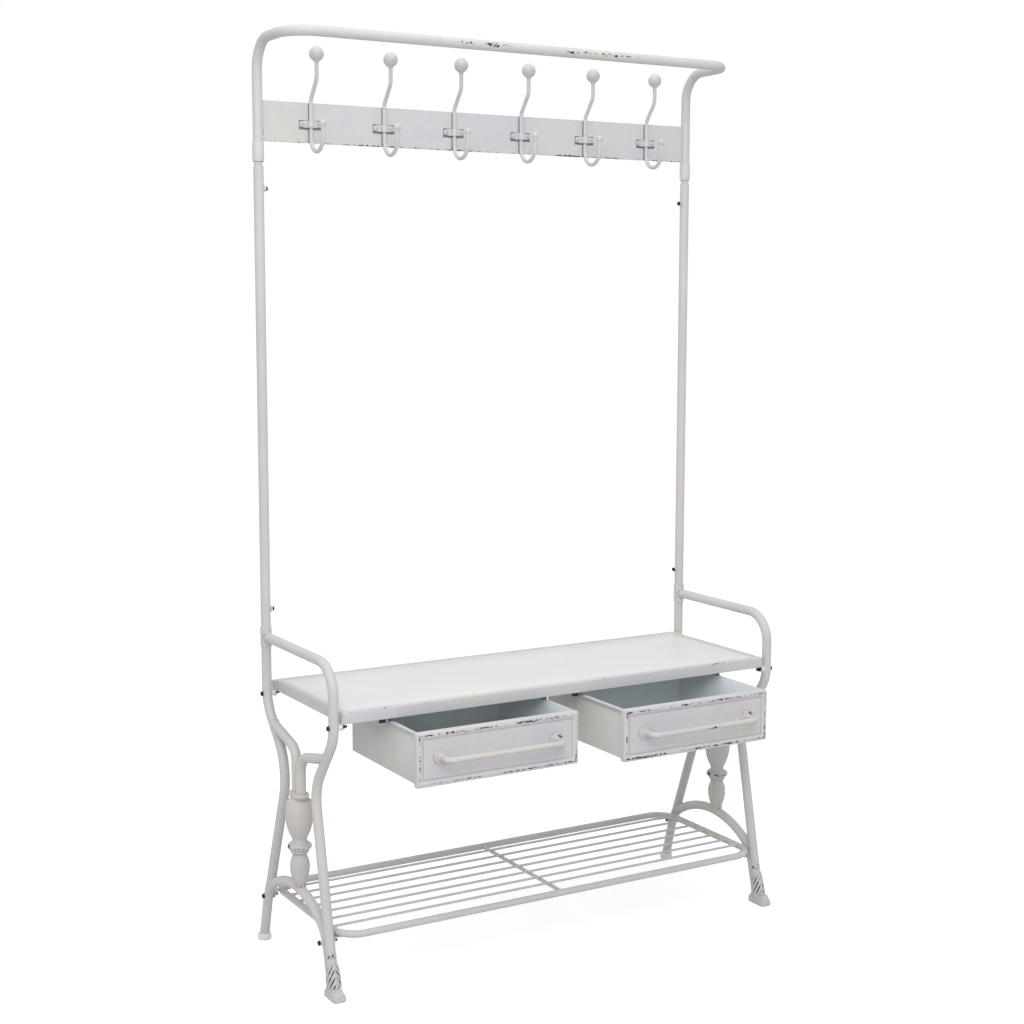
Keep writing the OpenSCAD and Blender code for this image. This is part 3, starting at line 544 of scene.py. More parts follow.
def cross_head(bm, frame_at, radius, height, slot_width, slot_length, rings=9, sides=40):
    """A domed screw head with a cross cut into it."""
    grid = []
    for i in range(rings + 1):
        r = radius * i / rings
        row = []
        for k in range(sides if i else 1):
            a = 2 * math.pi * k / sides
            px, py = r * math.cos(a), r * math.sin(a)
            z = height * math.sqrt(max(0.0, 1 - (r / radius) ** 2 * 0.9))
            in_cross = (abs(px) < slot_width and abs(py) < slot_length) or (
                abs(py) < slot_width and abs(px) < slot_length)
            z -= 0.5 * height if in_cross else 0
            row.append(bm.verts.new(place(*(frame_at @ Vector((px, py, z))))))
        grid.append(row)
    for k in range(sides):
        bm.faces.new((grid[0][0], grid[1][k], grid[1][(k + 1) % sides]))
    for i in range(1, rings):
        for k in range(sides):
            n = (k + 1) % sides
            bm.faces.new((grid[i][k], grid[i + 1][k], grid[i + 1][n], grid[i][n]))
    rim = [bm.verts.new(place(*(frame_at @ Vector((radius * math.cos(2 * math.pi * k / sides),
                                                   radius * math.sin(2 * math.pi * k / sides), -0.4)))))
           for k in range(sides)]
    for k in range(sides):
        n = (k + 1) % sides
        bm.faces.new((grid[-1][k], rim[k], rim[n], grid[-1][n]))
    bm.faces.new(rim)


bm = bmesh.new()
for number in range(1, 7):
    for s in (-1, 1):
        cross_head(bm, at(middle(f"hook_{number}").x + s * 17, -2.8, CLIP_Z, rx=90, rz=0), 4.0, 2.4, 0.55, 2.3)
finish_piece("strap_screws", bm, PAINT, stands_for=["hook_screws"], rub=lambda p: 0.35)

# ---------------------------------------------------------------- joints of the uprights


def hex_nut(bm, frame_at, across, height, hole=3.0):
    """A nut with turned-down corners; its bore shows only as a circle on each face."""
    rings = []
    for inset, z in ((0.9, 0), (0, 0.7), (0, height - 0.7), (0.9, height)):
        ring = []
        for k in range(24):
            a = 2 * math.pi * k / 24
            flat = math.cos(math.pi / 6) / math.cos((a % (math.pi / 3)) - math.pi / 6)
            r = min(across / 2 * flat, across / 2 - inset)
            ring.append(bm.verts.new(place(*(frame_at @ Vector((r * math.cos(a), r * math.sin(a), z))))))
        rings.append(ring)
    for a, b in zip(rings, rings[1:]):
        for k in range(24):
            bm.faces.new((a[k], a[(k + 1) % 24], b[(k + 1) % 24], b[k]))
    for ring, z in ((rings[0], 0), (rings[-1], height)):
        inner = [bm.verts.new(place(*(frame_at @ Vector((hole * math.cos(2 * math.pi * k / 24),
                                                         hole * math.sin(2 * math.pi * k / 24), z)))))
                 for k in range(24)]
        for k in range(24):
            bm.faces.new((ring[k], ring[(k + 1) % 24], inner[(k + 1) % 24], inner[k]))
        bm.faces.new(inner)


bm_nut, bm_bolt = bmesh.new(), bmesh.new()
for side in (-1, 1):
    for z in (1548, 707.5):
        seat = sideways(-side, side * HALF, 0, z)
        hex_nut(bm_nut, seat @ at(z=9.2), 11.5, 4.8)
        lathe(bm_bolt, [(3, 13.4), (4.0, 14.0), (4.25, 14.6), (4.25, 17.0), (3.8, 17.8), (2.2, 18.0),
                        (2.0, 16.6), (0, 16.4)], seat, sides=24)
finish_piece("weld_nuts_on_uprights", bm_nut, PAINT, stands_for=["weld_nuts"], rub=lambda p: 0.35)
finish_piece("lock_bolt_heads", bm_bolt, BOLT, stands_for=["lock_bolts"])

# ---------------------------------------------------------------- side frames


def swelling(z_wide, r_wide, z_end, r_end, count=10):
    """Half of a turned swelling: an arc from its widest point to its end, as (radius, height)."""
    h, s = abs(z_end - z_wide), r_wide - r_end
    arc = (h * h + s * s) / (2 * s)
    steps = [z_wide + (z_end - z_wide) * k / count for k in range(count + 1)]
    return [(r_wide - arc + math.sqrt(max(0, arc * arc - (z - z_wide) ** 2)), z) for z in steps]


LEG_TOP = 630.5
rear_moves = [(LEG_TOP - 545, 42, 80, 0), (58, 62.5, 110, 180), (232, 0, 0, 0)]
front_moves = [(327 - 60, 90, 60, 0), (56, 38, 75, 0), (81, 49.8, 86, 180), (290, 0, 0, 0)]
lean = math.radians(15)
side_arc = math.radians(32)
shoulder_y = 228 * math.sin(side_arc) + 67 * (math.cos(lean) - math.sin(side_arc))
shoulder_z = 168 - 228 * (1 - math.cos(side_arc)) - 67 * (math.cos(side_arc) - math.sin(lean))
ARCH_FOOT_Y = shoulder_y + (shoulder_z - 4) * math.tan(lean) - 137.5
foot_run = (shoulder_z - 4) / math.cos(lean)
FOOT_JOINT = 92

for side_name, side in SIDES.items():
    sx = side * HALF
    arch_path = moved_path(at(sx, ARCH_FOOT_Y, 4, rz=-90), Matrix.Rotation(lean, 4, "Y"), [
        (foot_run, 43, 67, 0), (2, 64, 226, 0), (2, 43, 67, 0), (foot_run, 0, 0, 0)])
    rear_path = moved_path(at(sx, 0, LEG_TOP), down_front, rear_moves)
    keep = next(i for i, p in enumerate(rear_path) if i > 20 and distance_to(arch_path, p) < 5)
    tail = rear_path[keep - 1]
    run = rear_path[keep] - tail
    rear_path = rear_path[:keep] + [tail + run * k / 6 for k in range(1, 7)]
    rear_path = [p for p in rear_path if distance_to(arch_path, p) > 2]
    front_path = moved_path(at(sx, 0, 651, rx=90), at(rz=-90), front_moves)
    front_path = [p for p in front_path if p.y < -9 and p.z > FOOT_JOINT - 0.5]
    ankle = front_path[-1]
    slope = (ankle - front_path[-2]).normalized()
    front_path.append(ankle + slope * ((FOOT_JOINT - ankle.z) / slope.z))

    tube_piece(f"rear_leg_tube_{side_name}", rear_path, [f"rear_leg_{side_name}"],
               rub=lambda p: 0.35 * near(p.z, 150, 14))
    tube_piece(f"front_leg_tube_{side_name}", front_path, [f"front_leg_{side_name}"],
               rub=lambda p: 0.33 * near(p.z, 648, 14) * (p.y < BACK - 280)
               + 0.75 * near(p.z, FOOT_JOINT, 2.2))
    tube_piece(f"arch_tube_{side_name}", arch_path, [f"arch_{side_name}"],
               rub=lambda p: 0.30 * near(p.z, 178, 5))

    # collar between the upright, the arm rest and the rear leg
    bm = bmesh.new()
    lathe(bm, [(9.4, 0), (11.0, 0), (11.5, 0.5), (11.5, 40.5), (11.0, 41), (10.0, 41.1)], at(sx, 0, 630.5))
    finish_piece(f"arm_collar_{side_name}", bm, PAINT, stands_for=[f"collar_{side_name}"],
                 rub=lambda p: 0.55 * near(p.z, 630.5, 2.5) + 0.3 * near(p.z, 671.5, 2))
    weld_bead(f"weld_arm_{side_name}", Vector((sx, -40, 651)), Vector((0, 1, 0)), TUBE,
              [Vector((sx, 0, 560)), Vector((sx, 0, 700))], 11.6, seed=3)

    # branches down to the baluster
    for which, root, toward, slope_deg, bend_r, stop_y, trunk in (
            ("rear", (-34, 478), -1, 14, 30, -147.5, rear_path),
            ("front", (-292, 465), 1, 12, 40, -168.5, front_path)):
        reach = abs(stop_y - root[0])
        s, c = math.sin(math.radians(slope_deg)), math.cos(math.radians(slope_deg))
        straight = (reach - bend_r * (1 - s)) / c
        fall = straight * s + bend_r * c
        start = at(sx, root[0], root[1], rz=90 if toward > 0 else -90)
        branch = moved_path(start, at(ry=90 + slope_deg),
                            [(straight, 90 - slope_deg, bend_r, 0), (root[1] - fall - 362, 0, 0, 0)])
        tube_piece(f"{which}_branch_tube_{side_name}", branch, [f"{which}_branch_{side_name}"])
        away = (branch[2] - branch[0]).normalized()
        weld_bead(f"weld_{which}_branch_{side_name}", branch[0] + away * 62, -away, TUBE, trunk,
                  TUBE + 0.2, seed=5)
        weld_bead(f"weld_{which}_branch_foot_{side_name}", Vector((sx, stop_y, 392)), Vector((0, 0, -1)), TUBE,
                  [Vector((sx, stop_y - 40, 354)), Vector((sx, stop_y + 40, 354))], 12.0, thick=1.3, seed=6)

    weld_bead(f"weld_rear_leg_{side_name}", rear_path[-1] - run.normalized() * 60, run, TUBE, arch_path,
              TUBE + 0.2, seed=7)

    # turned baluster, cast in one with its oval top plate
    by = -158
    profile = [(0, 170), (11.5, 170), (11.5, 181)]
    profile += list(reversed(swelling(216, 19.7, 181.5, 11.8)))[1:]
    profile += swelling(216, 19.7, 237, 14.6)[1:]
    profile += [(14.4, 239), (14.7, 242.4), (17.4, 244), (18.4, 246.4), (18.6, 248.8), (18.2, 249.6),
                (20.6, 251)]
    profile += [(17.4 + 6.8 * math.cos(math.radians(a)), 257 + 6.7 * math.sin(math.radians(a)))
                for a in range(-55, 66, 12)]
    profile += [(18.6, 263.9), (17.2, 265.1), (15.8, 266.6), (15.0, 268.6), (14.8, 270.6), (15.0, 272.8),
                (15.7, 275.2), (16.9, 277.8)]
    profile += list(reversed(swelling(322, 27.9, 280, 18.5)))
    profile += swelling(322, 27.9, 348.4, 24.8)[1:]
    profile += [(24.2, 349.6), (22.6, 350.6), (20.2, 351.4), (18.2, 352.2), (17.3, 353.6), (17.0, 355.4),
                (17.3, 357.8), (18.2, 359.6)]
    bm = bmesh.new()
    lathe(bm, profile + [(0, 359.6)], at(sx, by, 0), sides=56)
    stacked(bm, at(sx, by, 0), 32.5, 53,
            [(3.5, 357.8), (1.2, 358.6), (0.3, 359.8), (0, 361.2), (0.2, 364.6), (1.2, 366)],
            corner=16, segments=8)
    # the casting is darker in rings under the lower bead and under the top plate, and in a mottled dark chip on the
    # bead's -x side
    finish_piece(f"turned_baluster_{side_name}", bm, CASTING, stands_for=[f"baluster_{side_name}"], crease=50,
                 rub=lambda p: 0.85 * near(p.z, 257, 4.5) + 0.45 * near(p.z, 249.5, 2) + 0.25 * near(p.z, 366, 2),
                 wax_and_shade=lambda p, sx=sx: 1.15 * near((p - Vector((sx - 24, by + BACK, 258))).length, 0, 9)
                 * (0.75 + 0.8 * noise.noise(p / 3)) + 0.75 * near(p.z, 243.2, 1.4) + 0.25 * near(p.z, 352.6, 1.3))
    bm = bmesh.new()
    ring = [Vector((sx + 12.2 * math.cos(a), by + 12.2 * math.sin(a),
                    177.6 - 0.032 * (12.2 * math.sin(a)) ** 2 / 4)) for a in
            [2 * math.pi * k / 36 for k in range(36)]]
    sweep(bm, ring, 1.5, sides=8, closed=True)
    finish_piece(f"weld_baluster_{side_name}", bm, PAINT, rub=lambda p: 0.85, crease=80)

    # rear foot: a moulded cap pushed over the end of the arch
    cap = middle(f"rear_foot_{side_name}")
    bm = bmesh.new()
    lathe(bm, [(0, 0), (12.6, 0), (13.6, 0.5), (14, 1.6), (14, 10.2), (13.5, 12.0), (12.2, 12.9), (11.0, 13),
               (10.2, 12.2)], at(sx, cap.y - BACK, 0), sides=48)
    finish_piece(f"foot_cap_{side_name}", bm, NYLON, stands_for=[f"rear_foot_{side_name}"], crease=50)

    # front foot: a shoe with a moulded slope, and an acanthus leaf that wraps the end of the leg
    bm = bmesh.new()
    stacked(bm, at(sx, -320, 0), 26, 52,
            [(1.0, 0), (0.2, 0.8), (0, 2), (0, 8.6), (0.5, 10), (1.6, 10.8), (1.2, 12), (1.9, 13.6), (3.6, 15.4),
             (5.0, 18), (5.8, 20.5), (6.4, 23)], corner=5.5, segments=5)
    tilt = math.radians(11.8)
    sole = Vector((sx, -318, 4))
    axis = Vector((0, math.sin(tilt), math.cos(tilt)))
    ahead = Vector((0, -math.cos(tilt), math.sin(tilt)))
    rings, dark = [], {}
    stems, around = 96, 96
    for i in range(stems + 1):
        h = 10 + (FOOT_JOINT - 4 - 10) / math.cos(tilt) * i / stems
        ring = []
        for k in range(around):
            a = 2 * math.pi * k / around
            front = math.cos(a)
            turn = abs((a + math.pi) % (2 * math.pi) - math.pi)
            body_r = 12.6 if h < 36 else 12.6 - 2.5 * min(1.0, (h - 36) / 34)
            t = (h - 16) / 56
            wrap = 0.0
            groove = 0.0
            if 0.0 < t < 1.0:
                reach_a = math.radians(150) * (1 - t) ** 0.62
                lobes = 0.10 * abs(math.sin(t * math.pi * 4.5))
                inside = (reach_a * (1 + lobes) - turn) / 0.16
                wrap = max(0.0, min(1.0, inside))
                swell_out = 1.5 + 2.6 * (1 - t) * max(0.0, front)
                vein = math.sin(10.5 * turn + 26 * t)
                cut = max(0.0, -vein - 0.15) * min(1.0, turn / 0.35)
                spine = max(0.0, 1 - turn / 0.16)
                groove = wrap * min(1.0, cut * 1.5)
                body_r += wrap * (swell_out + 0.5 * spine) - 2.3 * groove
                if turn < reach_a * (1 + lobes) + 0.35:
                    lip_dark = math.exp(-((inside + 0.4) / 0.8) ** 2)
                    body_r -= 0.7 * lip_dark
                    groove = max(groove, 0.55 * lip_dark)
            band = near(h, 74, 2.2)
            body_r += 0.9 * band
            p = sole + axis * h + ahead * (body_r * front) + Vector((body_r * math.sin(a), 0, 0))
            v = bm.verts.new(place(*p))
            patchy = max(0.0, min(1.0, 0.9 + 1.5 * noise.noise(p / 7)))
            low_front = window(h, 9, 62, 9) * (0.5 + 0.5 * max(0.0, front))
            chip = max(0.0, min(1.0, 3.2 * noise.noise(p / 4) + 0.25)) * near(h, 77, 7) * (front > 0.3)
            dark[tuple(round(c, 6) for c in v.co)] = min(1.0, groove ** 0.8 * patchy * low_front + chip)
            ring.append(v)
        rings.append(ring)
    for a, b in zip(rings, rings[1:]):
        for k in range(around):
            bm.faces.new((a[k], a[(k + 1) % around], b[(k + 1) % around], b[k]))
    bm.faces.new(rings[0])
    bm.faces.new(rings[-1])
    finish_piece(f"cast_leaf_foot_{side_name}", bm, CASTING, stands_for=[f"front_foot_{side_name}"], crease=60,
                 rub=lambda p: 0.5 * near(p.z, 1, 3) + 0.6 * near(p.z, 72, 3),
                 wax_and_shade=lambda p: dark.get(tuple(round(c * MM, 6) for c in p), 0))

# ---------------------------------------------------------------- bench

tray_low, tray_high = corners("seat_tray")
tray_w, tray_d = tray_high.x - tray_low.x, tray_high.y - tray_low.y
tray_mid_y = (tray_low.y + tray_high.y) / 2 - BACK
top = tray_high.z
bm = bmesh.new()
stacked(bm, at(0, tray_mid_y, 0), tray_w, tray_d,
        [(9, top - 22.2), (9, top - 23), (1.0, top - 23), (0.2, top - 22.6), (0, top - 21.8), (0, top - 2.0),
         (0.35, top - 0.8), (1.2, top - 0.15), (2.2, top), (10.9, top), (11.7, top - 0.3), (12.0, top - 1.0),
         (12.0, top - 12.0), (40, top - 12.2)], corner=1.8, segments=3, cap_first=False)
# painted shade: the inner wall of the rim is darkened towards the board, standing in for the shade in that gap
finish_piece("folded_seat_tray", bm, SHEET, stands_for=["seat_tray"],
             rub=lambda p: 0.7 * near(p.z, top - 1, 2.5) * (p.y < tray_low.y + 3),
             wax_and_shade=lambda p: 0.5 * (p.z < top - 1.5) * (p.z > top - 13) * (
                 min(p.x - tray_low.x, tray_high.x - p.x, p.y - tray_low.y, tray_high.y - p.y) > 11))
panel_low, panel_high = corners("seat_panel")
bm = bmesh.new()
stacked(bm, at(0, tray_mid_y, 0), panel_high.x - panel_low.x, panel_high.y - panel_low.y,
        [(0.4, panel_low.z), (0, panel_low.z + 0.5), (0, panel_high.z - 0.8), (0.25, panel_high.z - 0.2),
         (0.9, panel_high.z), (60, panel_high.z + 0.02)], corner=1.5, segments=3)
finish_piece("seat_board", bm, PANEL, stands_for=["seat_panel"])



def finish_cad_piece(node, material, edge=0.0, segments=2, turned=False):
    """Gives a piece that keeps its own shape a finish, and rounds its edges by edge millimetres."""
    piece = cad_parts[node]
    piece.data.materials.clear()
    piece.data.materials.append(material)
    if edge:
        rounding = piece.modifiers.new("rounded_edges", "BEVEL")
        rounding.width, rounding.segments, rounding.limit_method = edge * MM, segments, "ANGLE"
    if turned:
        piece.data.shade_smooth()
        piece.data.set_sharp_from_angle(angle=math.radians(40))


for node in ("seat_brackets", "shelf_tabs"):
    finish_cad_piece(node, SHEET, edge=0.4)
for node in ("runners_left", "runners_right"):
    finish_cad_piece(node, SHEET, edge=0.3)
finish_cad_piece("runner_stops", RUBBER, edge=0.8, segments=3)
for node, material in (("upper_spigots", PAINT), ("lower_spigots", PAINT), ("seat_spacers", NYLON)):
    finish_cad_piece(node, material, turned=True)

# bolts through the legs: a domed cross head and washer outside, a nut inside. The front bolts of
# the shelf stand 5 mm off the tube on a painted distance ring.
bm_bolt, bm_nut, bm_ring, bm_painted_nut = (bmesh.new() for _ in range(4))
for node, nut_z, shank in (("seat_bolts", -22, 27), ("shelf_bolts", -17.5, 21)):
    low, high = corners(node)
    for side in (-1, 1):
        for y, stand in ((high.y - 5 - BACK, 0), (low.y + 5 - BACK, 5 if node == "shelf_bolts" else 0)):
            seat = sideways(side, side * HALF, y, (low.z + high.z) / 2)
            if stand:
                lathe(bm_ring, [(0, 9.6), (3.8, 9.6), (4, 10), (4, 14.6), (3.7, 15), (0, 15)], seat, sides=24)
            head = seat @ at(z=stand)
            lathe(bm_bolt, [(0, 10), (4.7, 10), (5, 10.3), (5, 11.0), (4.7, 11.3), (0, 11.3)], head, sides=28)
            cross_head(bm_bolt, head @ at(z=11.6), 4.8, 2.9, 0.6, 2.9)
            lathe(bm_bolt, [(0, -shank - 0.4), (1.9, -shank - 0.4), (2.5, -shank + 0.2), (2.5, 10.5),
                            (0, 10.5)], seat, sides=20)
            hex_nut(bm_nut if node == "seat_bolts" else bm_painted_nut, seat @ at(z=nut_z), 9, 5, hole=2.4)
finish_piece("cross_head_bolts", bm_bolt, BOLT, stands_for=["seat_bolts", "shelf_bolts"])
finish_piece("hex_nuts_of_seat", bm_nut, BOLT, stands_for=["seat_nuts"])
finish_piece("hex_nuts_of_shelf", bm_painted_nut, PAINT, stands_for=["shelf_nuts"])
finish_piece("distance_rings_of_shelf", bm_ring, PAINT)

# ---------------------------------------------------------------- drawers

for side_name, side in SIDES.items():
    body = f"drawer_{side_name}"
    low, high = corners(f"drawer_{side_name}_front")
    cx, face, mid_z = (low.x + high.x) / 2, low.y - BACK, (low.z + high.z) / 2
    fw, fh = high.x - low.x, high.z - low.z
    facing = at(cx, face, mid_z, rx=90)
    bm = bmesh.new()
    stacked(bm, facing, fw, fh,
            [(5, -14), (0.6, -14), (0, -13.4), (0, -2.6), (0.5, -1.6), (1.4, -1.1), (3.2, -1.1), (4.0, -0.7),
             (5.0, -0.15), (6.3, 0), (7.8, -0.2), (9.2, -0.9), (10.4, -1.9), (11.3, -2.6), (12.6, -2.7),
             (13.0, -4.3), (14.3, -4.3), (14.7, -3.0), (15.6, -2.9), (34, -2.75)], corner=2.0, segments=3,
            cap_first=False)

    def bead(p, low=low, high=high):
        edge_in = min(p.x - low.x, high.x - p.x, p.z - low.z, high.z - p.z)
        out = p.y < low.y + 2.8
        return (1.25 * near(edge_in, 5.6, 4.0) + 0.5 * near(edge_in, 0.4, 1.2)) * out

    # painted shade: the groove round the panel is drawn as a thin dark line
    finish_piece(f"moulded_front_{side_name}", bm, SHEET, body, [f"drawer_{side_name}_front"], rub=bead,
                 wax_and_shade=lambda p, low=low, high=high: 0.58 * near(
                     min(p.x - low.x, high.x - p.x, p.z - low.z, high.z - p.z), 13.6, 0.9))

    low, high = corners(f"drawer_{side_name}_box")
    box_half, box_top, box_low = 172, high.z, low.z
    box_w = 2 * box_half
    box_front, box_back = low.y - BACK, high.y - BACK
    bm = bmesh.new()
    yc, depth = (box_front + box_back) / 2, box_back - box_front
    stacked(bm, at(cx, yc, 0), box_w, depth,
            [(1.4, box_low), (0.4, box_low + 0.2), (0, box_low + 0.9), (0, box_top - 0.6), (0.3, box_top),
             (0.9, box_top), (1.2, box_top - 0.4), (1.2, box_low + 2.2), (2.2, box_low + 1.3)],
            corner=2.2, segments=3)
    for f in bm.faces:
        inside = all(abs(v.co.x / MM - cx) < box_half - 1.05 and
                     box_front + 1.05 < v.co.y / MM - BACK < box_back - 1.05 and
                     v.co.z / MM > box_low + 1.0 for v in f.verts)
        f.material_index = 1 if inside else 0
    finish_piece(f"folded_drawer_{side_name}", bm, [BOX, LINING], body, [f"drawer_{side_name}_box"],
                 rub=lambda p: 0.12 * near(p.z, box_top, 1))
    bm = bmesh.new()
    for s in (-1, 1):
        hem = [(0.0, -0.6), (0.6, -0.1), (3.6, 0.0), (4.6, -0.6), (5.0, -1.6), (5.0, -4.2), (4.5, -5.2), (3.8, -5.4),
               (3.8, -1.5), (0.0, -1.3)]
        ends = []
        for y in (box_front + 2, box_back - 2):
            ends.append([bm.verts.new(place(cx + s * (box_half + a), y, box_top + b)) for a, b in hem])
        for k in range(len(hem)):
            n = (k + 1) % len(hem)
            bm.faces.new((ends[0][k], ends[0][n], ends[1][n], ends[1][k]))
        bm.faces.new(ends[0])
        bm.faces.new(ends[1])
    finish_piece(f"drawer_hems_{side_name}", bm, SHEET, body)

    # cast pull: a bar between two bosses, each on a round rosette
    rose = middle(f"drawer_{side_name}_rosettes")
    pz = rose.z
    reach, bend, pull_half = 30.8, 12, 127.5
    base = face + 3
    bm = bmesh.new()
    for s in (-1, 1):
        lathe(bm, [(0, 0), (14.6, 0), (15, 0.5), (15, 1.8), (14.4, 2.7), (12.8, 3.2), (10.8, 3.6), (9.2, 4.4),
                   (8.6, 5.4), (7.6, 6.4), (5.8, 7.6)], at(cx + s * pull_half, base, pz, rx=90), sides=44)

    def rosette_rub(p, cx=cx, pz=pz):
        return 0.30 + 0.55 * near(math.hypot(abs(p.x - cx) - pull_half, p.z - pz), 14.8, 2.2)

    # painted shade: dark rings where the rosette meets the front and at the foot of its boss; the dark knock beside
    # the right rosette is a real mark
    def rosette_marks_and_shade(p, base=base, cx=cx, pz=pz):
        off_front = BACK + base - p.y
        knock = near(math.hypot(p.x - cx - 134, p.z - pz - 6), 0, 8)
        return (0.55 * near(off_front, 0.2, 1.0) + 0.40 * near(off_front, 4.6, 1.2)
                + knock * max(0.0, 0.9 + 2.5 * noise.noise(p / 2.2)))

    finish_piece(f"pull_rosettes_{side_name}", bm, CASTING, body, [f"drawer_{side_name}_rosettes"],
                 rub=rosette_rub, wax_and_shade=rosette_marks_and_shade)
    path = moved_path(at(cx - pull_half, base - 3, pz, rx=90), Matrix.Identity(4), [
        (reach - bend, 90, bend, 0), (2 * pull_half - 2 * bend, 90, bend, 0), (reach - bend, 0, 0, 0)], fine=7)
    radii = []
    for p in path:
        along = abs(p.x - cx)
        elbow = 0.6 * window(along, 112, 140, 6)
        radii.append(5.6 - 0.3 * (1 - min(1.0, along / 100)) + elbow)
    bm = bmesh.new()
    sweep(bm, path, radii, sides=28)
    # painted shade: a dark line along the underside of the bar
    finish_piece(f"cast_pull_{side_name}", bm, CASTING, body, [f"drawer_{side_name}_pull"], crease=70,
                 rub=lambda p, cx=cx, pz=pz: 1.0 * window(p.x, cx - 30, cx + 42, 8) * near(p.z, pz - 0.5, 4.5)
                 + 0.25 * window(abs(p.x - cx), 112, 140, 6),
                 wax_and_shade=lambda p, pz=pz: 0.5 * near(p.z, pz - 5.6, 3))
    bm = bmesh.new()
    for s in (-1, 1):
        cross_head(bm, at(cx + s * pull_half, face + 15.4, pz, rx=-90), 4.0, 2.2, 0.5, 2.2)
        lathe(bm, [(0, 0), (2, 0), (2, 14), (0, 14)], at(cx + s * pull_half, face + 15.4, pz, rx=90), sides=16)
    finish_piece(f"pull_screws_{side_name}", bm, BOLT, body, [f"drawer_{side_name}_screws"])

# ---------------------------------------------------------------- shelf

loop_low, loop_high = corners("shelf_loop")
lx, ly0, ly1 = loop_high.x - 7, loop_low.y + 7 - BACK, loop_high.y - 7 - BACK
lz = (loop_low.z + loop_high.z) / 2
loop = []
for cxs, cys, start in ((1, 1, 0), (-1, 1, 90), (-1, -1, 180), (1, -1, 270)):
    ox, oy = cxs * (lx - 50), (ly1 - 50) if cys > 0 else (ly0 + 50)
    for k in range(0, 91, 5):
        a = math.radians(start + k)
        loop.append(Vector((ox + 50 * math.cos(a), oy + 50 * math.sin(a), lz)))
dense = []
for a, b in zip(loop, loop[1:] + loop[:1]):
    steps = max(1, round((b - a).length / 15))
    dense += [a + (b - a) * k / steps for k in range(steps)]
bm = bmesh.new()
sweep(bm, dense, 7.0, sides=24, closed=True)
finish_piece("shelf_loop_tube", bm, PAINT, stands_for=["shelf_loop"], rub=lambda p: 0.22)

rod_low, rod_high = corners("shelf_rods")
rod_z = (rod_low.z + rod_high.z) / 2
rod_ys = [rod_low.y + 2.5 - BACK + k * 40.5 for k in range(7)]
bm = bmesh.new()
for y in rod_ys:
    xs = [(-1 + 2 * k / 60) * (lx - 2) for k in range(61)]
    path = [Vector((x, y, rod_z - 0.5 * (1 - (x / lx) ** 2))) for x in xs]
    sweep(bm, path, 2.5, sides=14)
finish_piece("shelf_rod_set", bm, PAINT, stands_for=["shelf_rods"], rub=lambda p: 0.2)
bm = bmesh.new()
sweep(bm, [Vector((0, ly0 + 2 + (ly1 - ly0 - 4) * k / 24, lz)) for k in range(25)], 4.0, sides=18)
finish_piece("shelf_cross_rod", bm, PAINT, stands_for=["shelf_cross_bar"],
             rub=lambda p: 0.7 * max(near(p.y - BACK, y, 5) for y in rod_ys))
bm = bmesh.new()
chance = random.Random(11)
for y in rod_ys:
    for x, reach_x, size in ((-lx + 4, 5, 2.2), (lx - 4, 5, 2.2), (0, 3.0, 1.9)):
        for s in (-1, 1):
            blob = [Vector((x + reach_x * k / 3 * chance.uniform(0.8, 1.1), y + s * 2.3,
                            rod_z - 1.9 - 0.2 * abs(k))) for k in range(-3, 4)]
            sweep(bm, blob, [size * f for f in (0.3, 0.7, 0.95, 1.0, 0.9, 0.7, 0.3)], sides=8)
finish_piece("shelf_welds", bm, PAINT, rub=lambda p: 0.6 if abs(p.x) < 50 else 0.3, crease=80)

# ---------------------------------------------------------------- floor, light and camera

bm = bmesh.new()
for x, y in ((-80, -80), (80, -80), (80, 80), (-80, 80)):
    bm.verts.new((x, y, 0))
bm.faces.new(bm.verts)
ground_mesh = bpy.data.meshes.new("studio_floor")
bm.to_mesh(ground_mesh)
bm.free()
ground = bpy.data.objects.new("studio_floor", ground_mesh)
bpy.context.scene.collection.objects.link(ground)
floor_paper, tree = blank("pale_floor_paper")
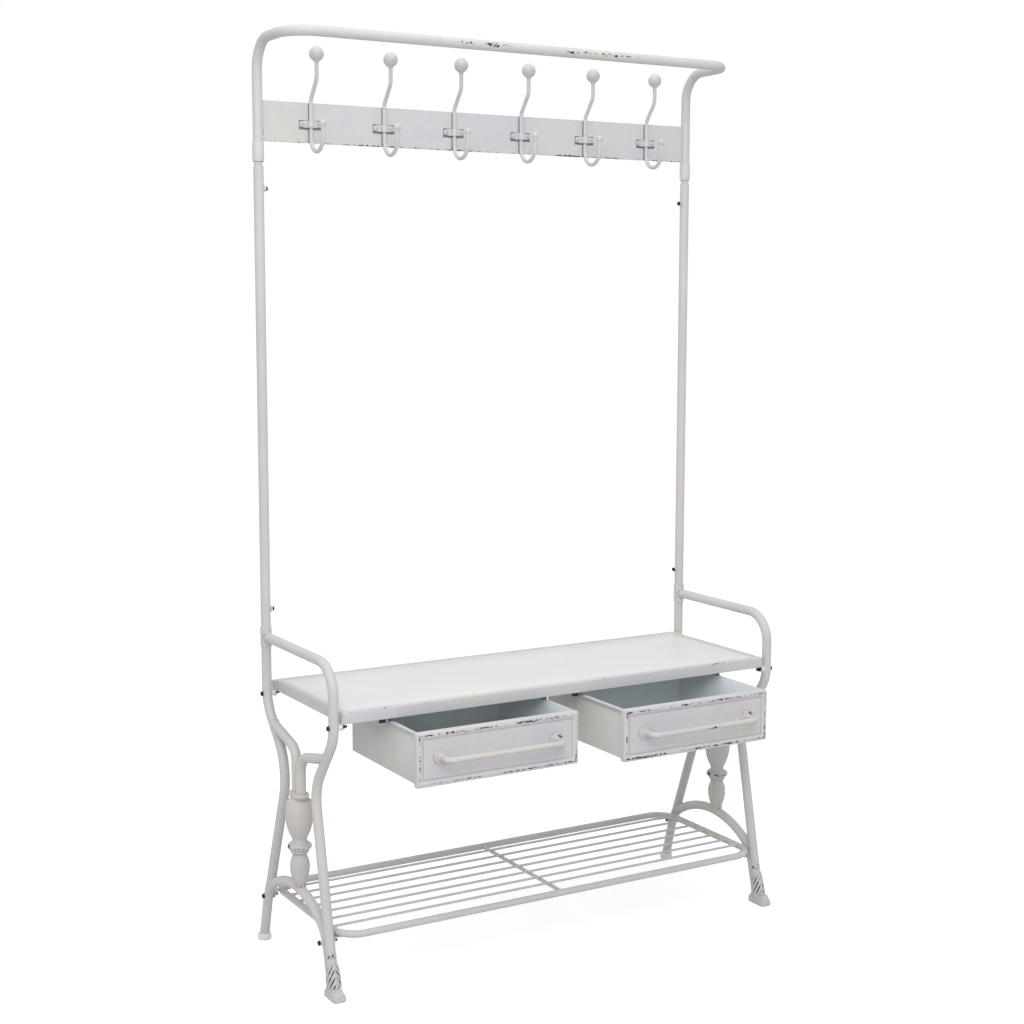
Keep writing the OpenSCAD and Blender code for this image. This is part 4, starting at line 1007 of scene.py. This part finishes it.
# the sheet reads white where it is looked at, and throws less light up under the rack than that
looked_at = add(tree, "LightPath").outputs["Is Camera Ray"]
lift = add(tree, "MapRange", inputs={"Value": looked_at, "To Min": 0.0, "To Max": 0.5}).outputs[0]
matt = add(tree, "BsdfPrincipled", inputs={"Base Color": colour("#DADADA"), "Roughness": 0.9,
                                           "Emission Color": colour("#FFFFFF"), "Emission Strength": lift})
add(tree, "OutputMaterial", inputs={"Surface": matt.outputs[0]})
ground_mesh.materials.append(floor_paper)


def soft_light(name, where, target, size, power, tint):
    lamp = bpy.data.lights.new(name, "AREA")
    lamp.shape, lamp.size, lamp.energy, lamp.color = "SQUARE", size, power, colour(tint)[:3]
    holder = bpy.data.objects.new(name, lamp)
    holder.location = where
    holder.rotation_euler = (Vector(target) - Vector(where)).to_track_quat("-Z", "Y").to_euler()
    bpy.context.scene.collection.objects.link(holder)


soft_light("overhead_softbox", (-0.4, -0.6, 4.4), (0, 0, 0.6), 3.4, 44, "#FFFFFF")
soft_light("front_softbox", (-2.4, -3.5, 3.2), (0, 0, 2.3), 1.8, 46, "#FBFAFF")
soft_light("high_softbox", (-1.0, -2.3, 2.6), (0, 0, 1.8), 1.2, 15, "#FFFFFF")

# the air is white where it is looked at, and lights the rack a little less than that
world = bpy.data.worlds.new("studio_air")
world.use_nodes = True
tree = world.node_tree
seen = add(tree, "LightPath").outputs["Is Camera Ray"]
tree.nodes["Background"].inputs["Color"].default_value = (1.0, 1.0, 1.0, 1)
strength = add(tree, "MapRange", inputs={"Value": seen, "To Min": 0.76, "To Max": 1.0}).outputs[0]
tree.links.new(strength, tree.nodes["Background"].inputs["Strength"])
bpy.context.scene.world = world
bpy.context.scene.view_settings.view_transform = "Standard"

lens = bpy.data.cameras.new("studio_camera")
lens.sensor_width, lens.lens = 36, 59.467
lens.shift_x, lens.shift_y = -0.00015, -0.00314
camera = bpy.data.objects.new("studio_camera", lens)
camera.location = place(-1796, -3169, 1339)
camera.rotation_euler = [math.radians(a) for a in (82.8315, -0.1156, -30.3911)]
bpy.context.scene.collection.objects.link(camera)
bpy.context.scene.camera = camera

bpy.context.view_layer.update()
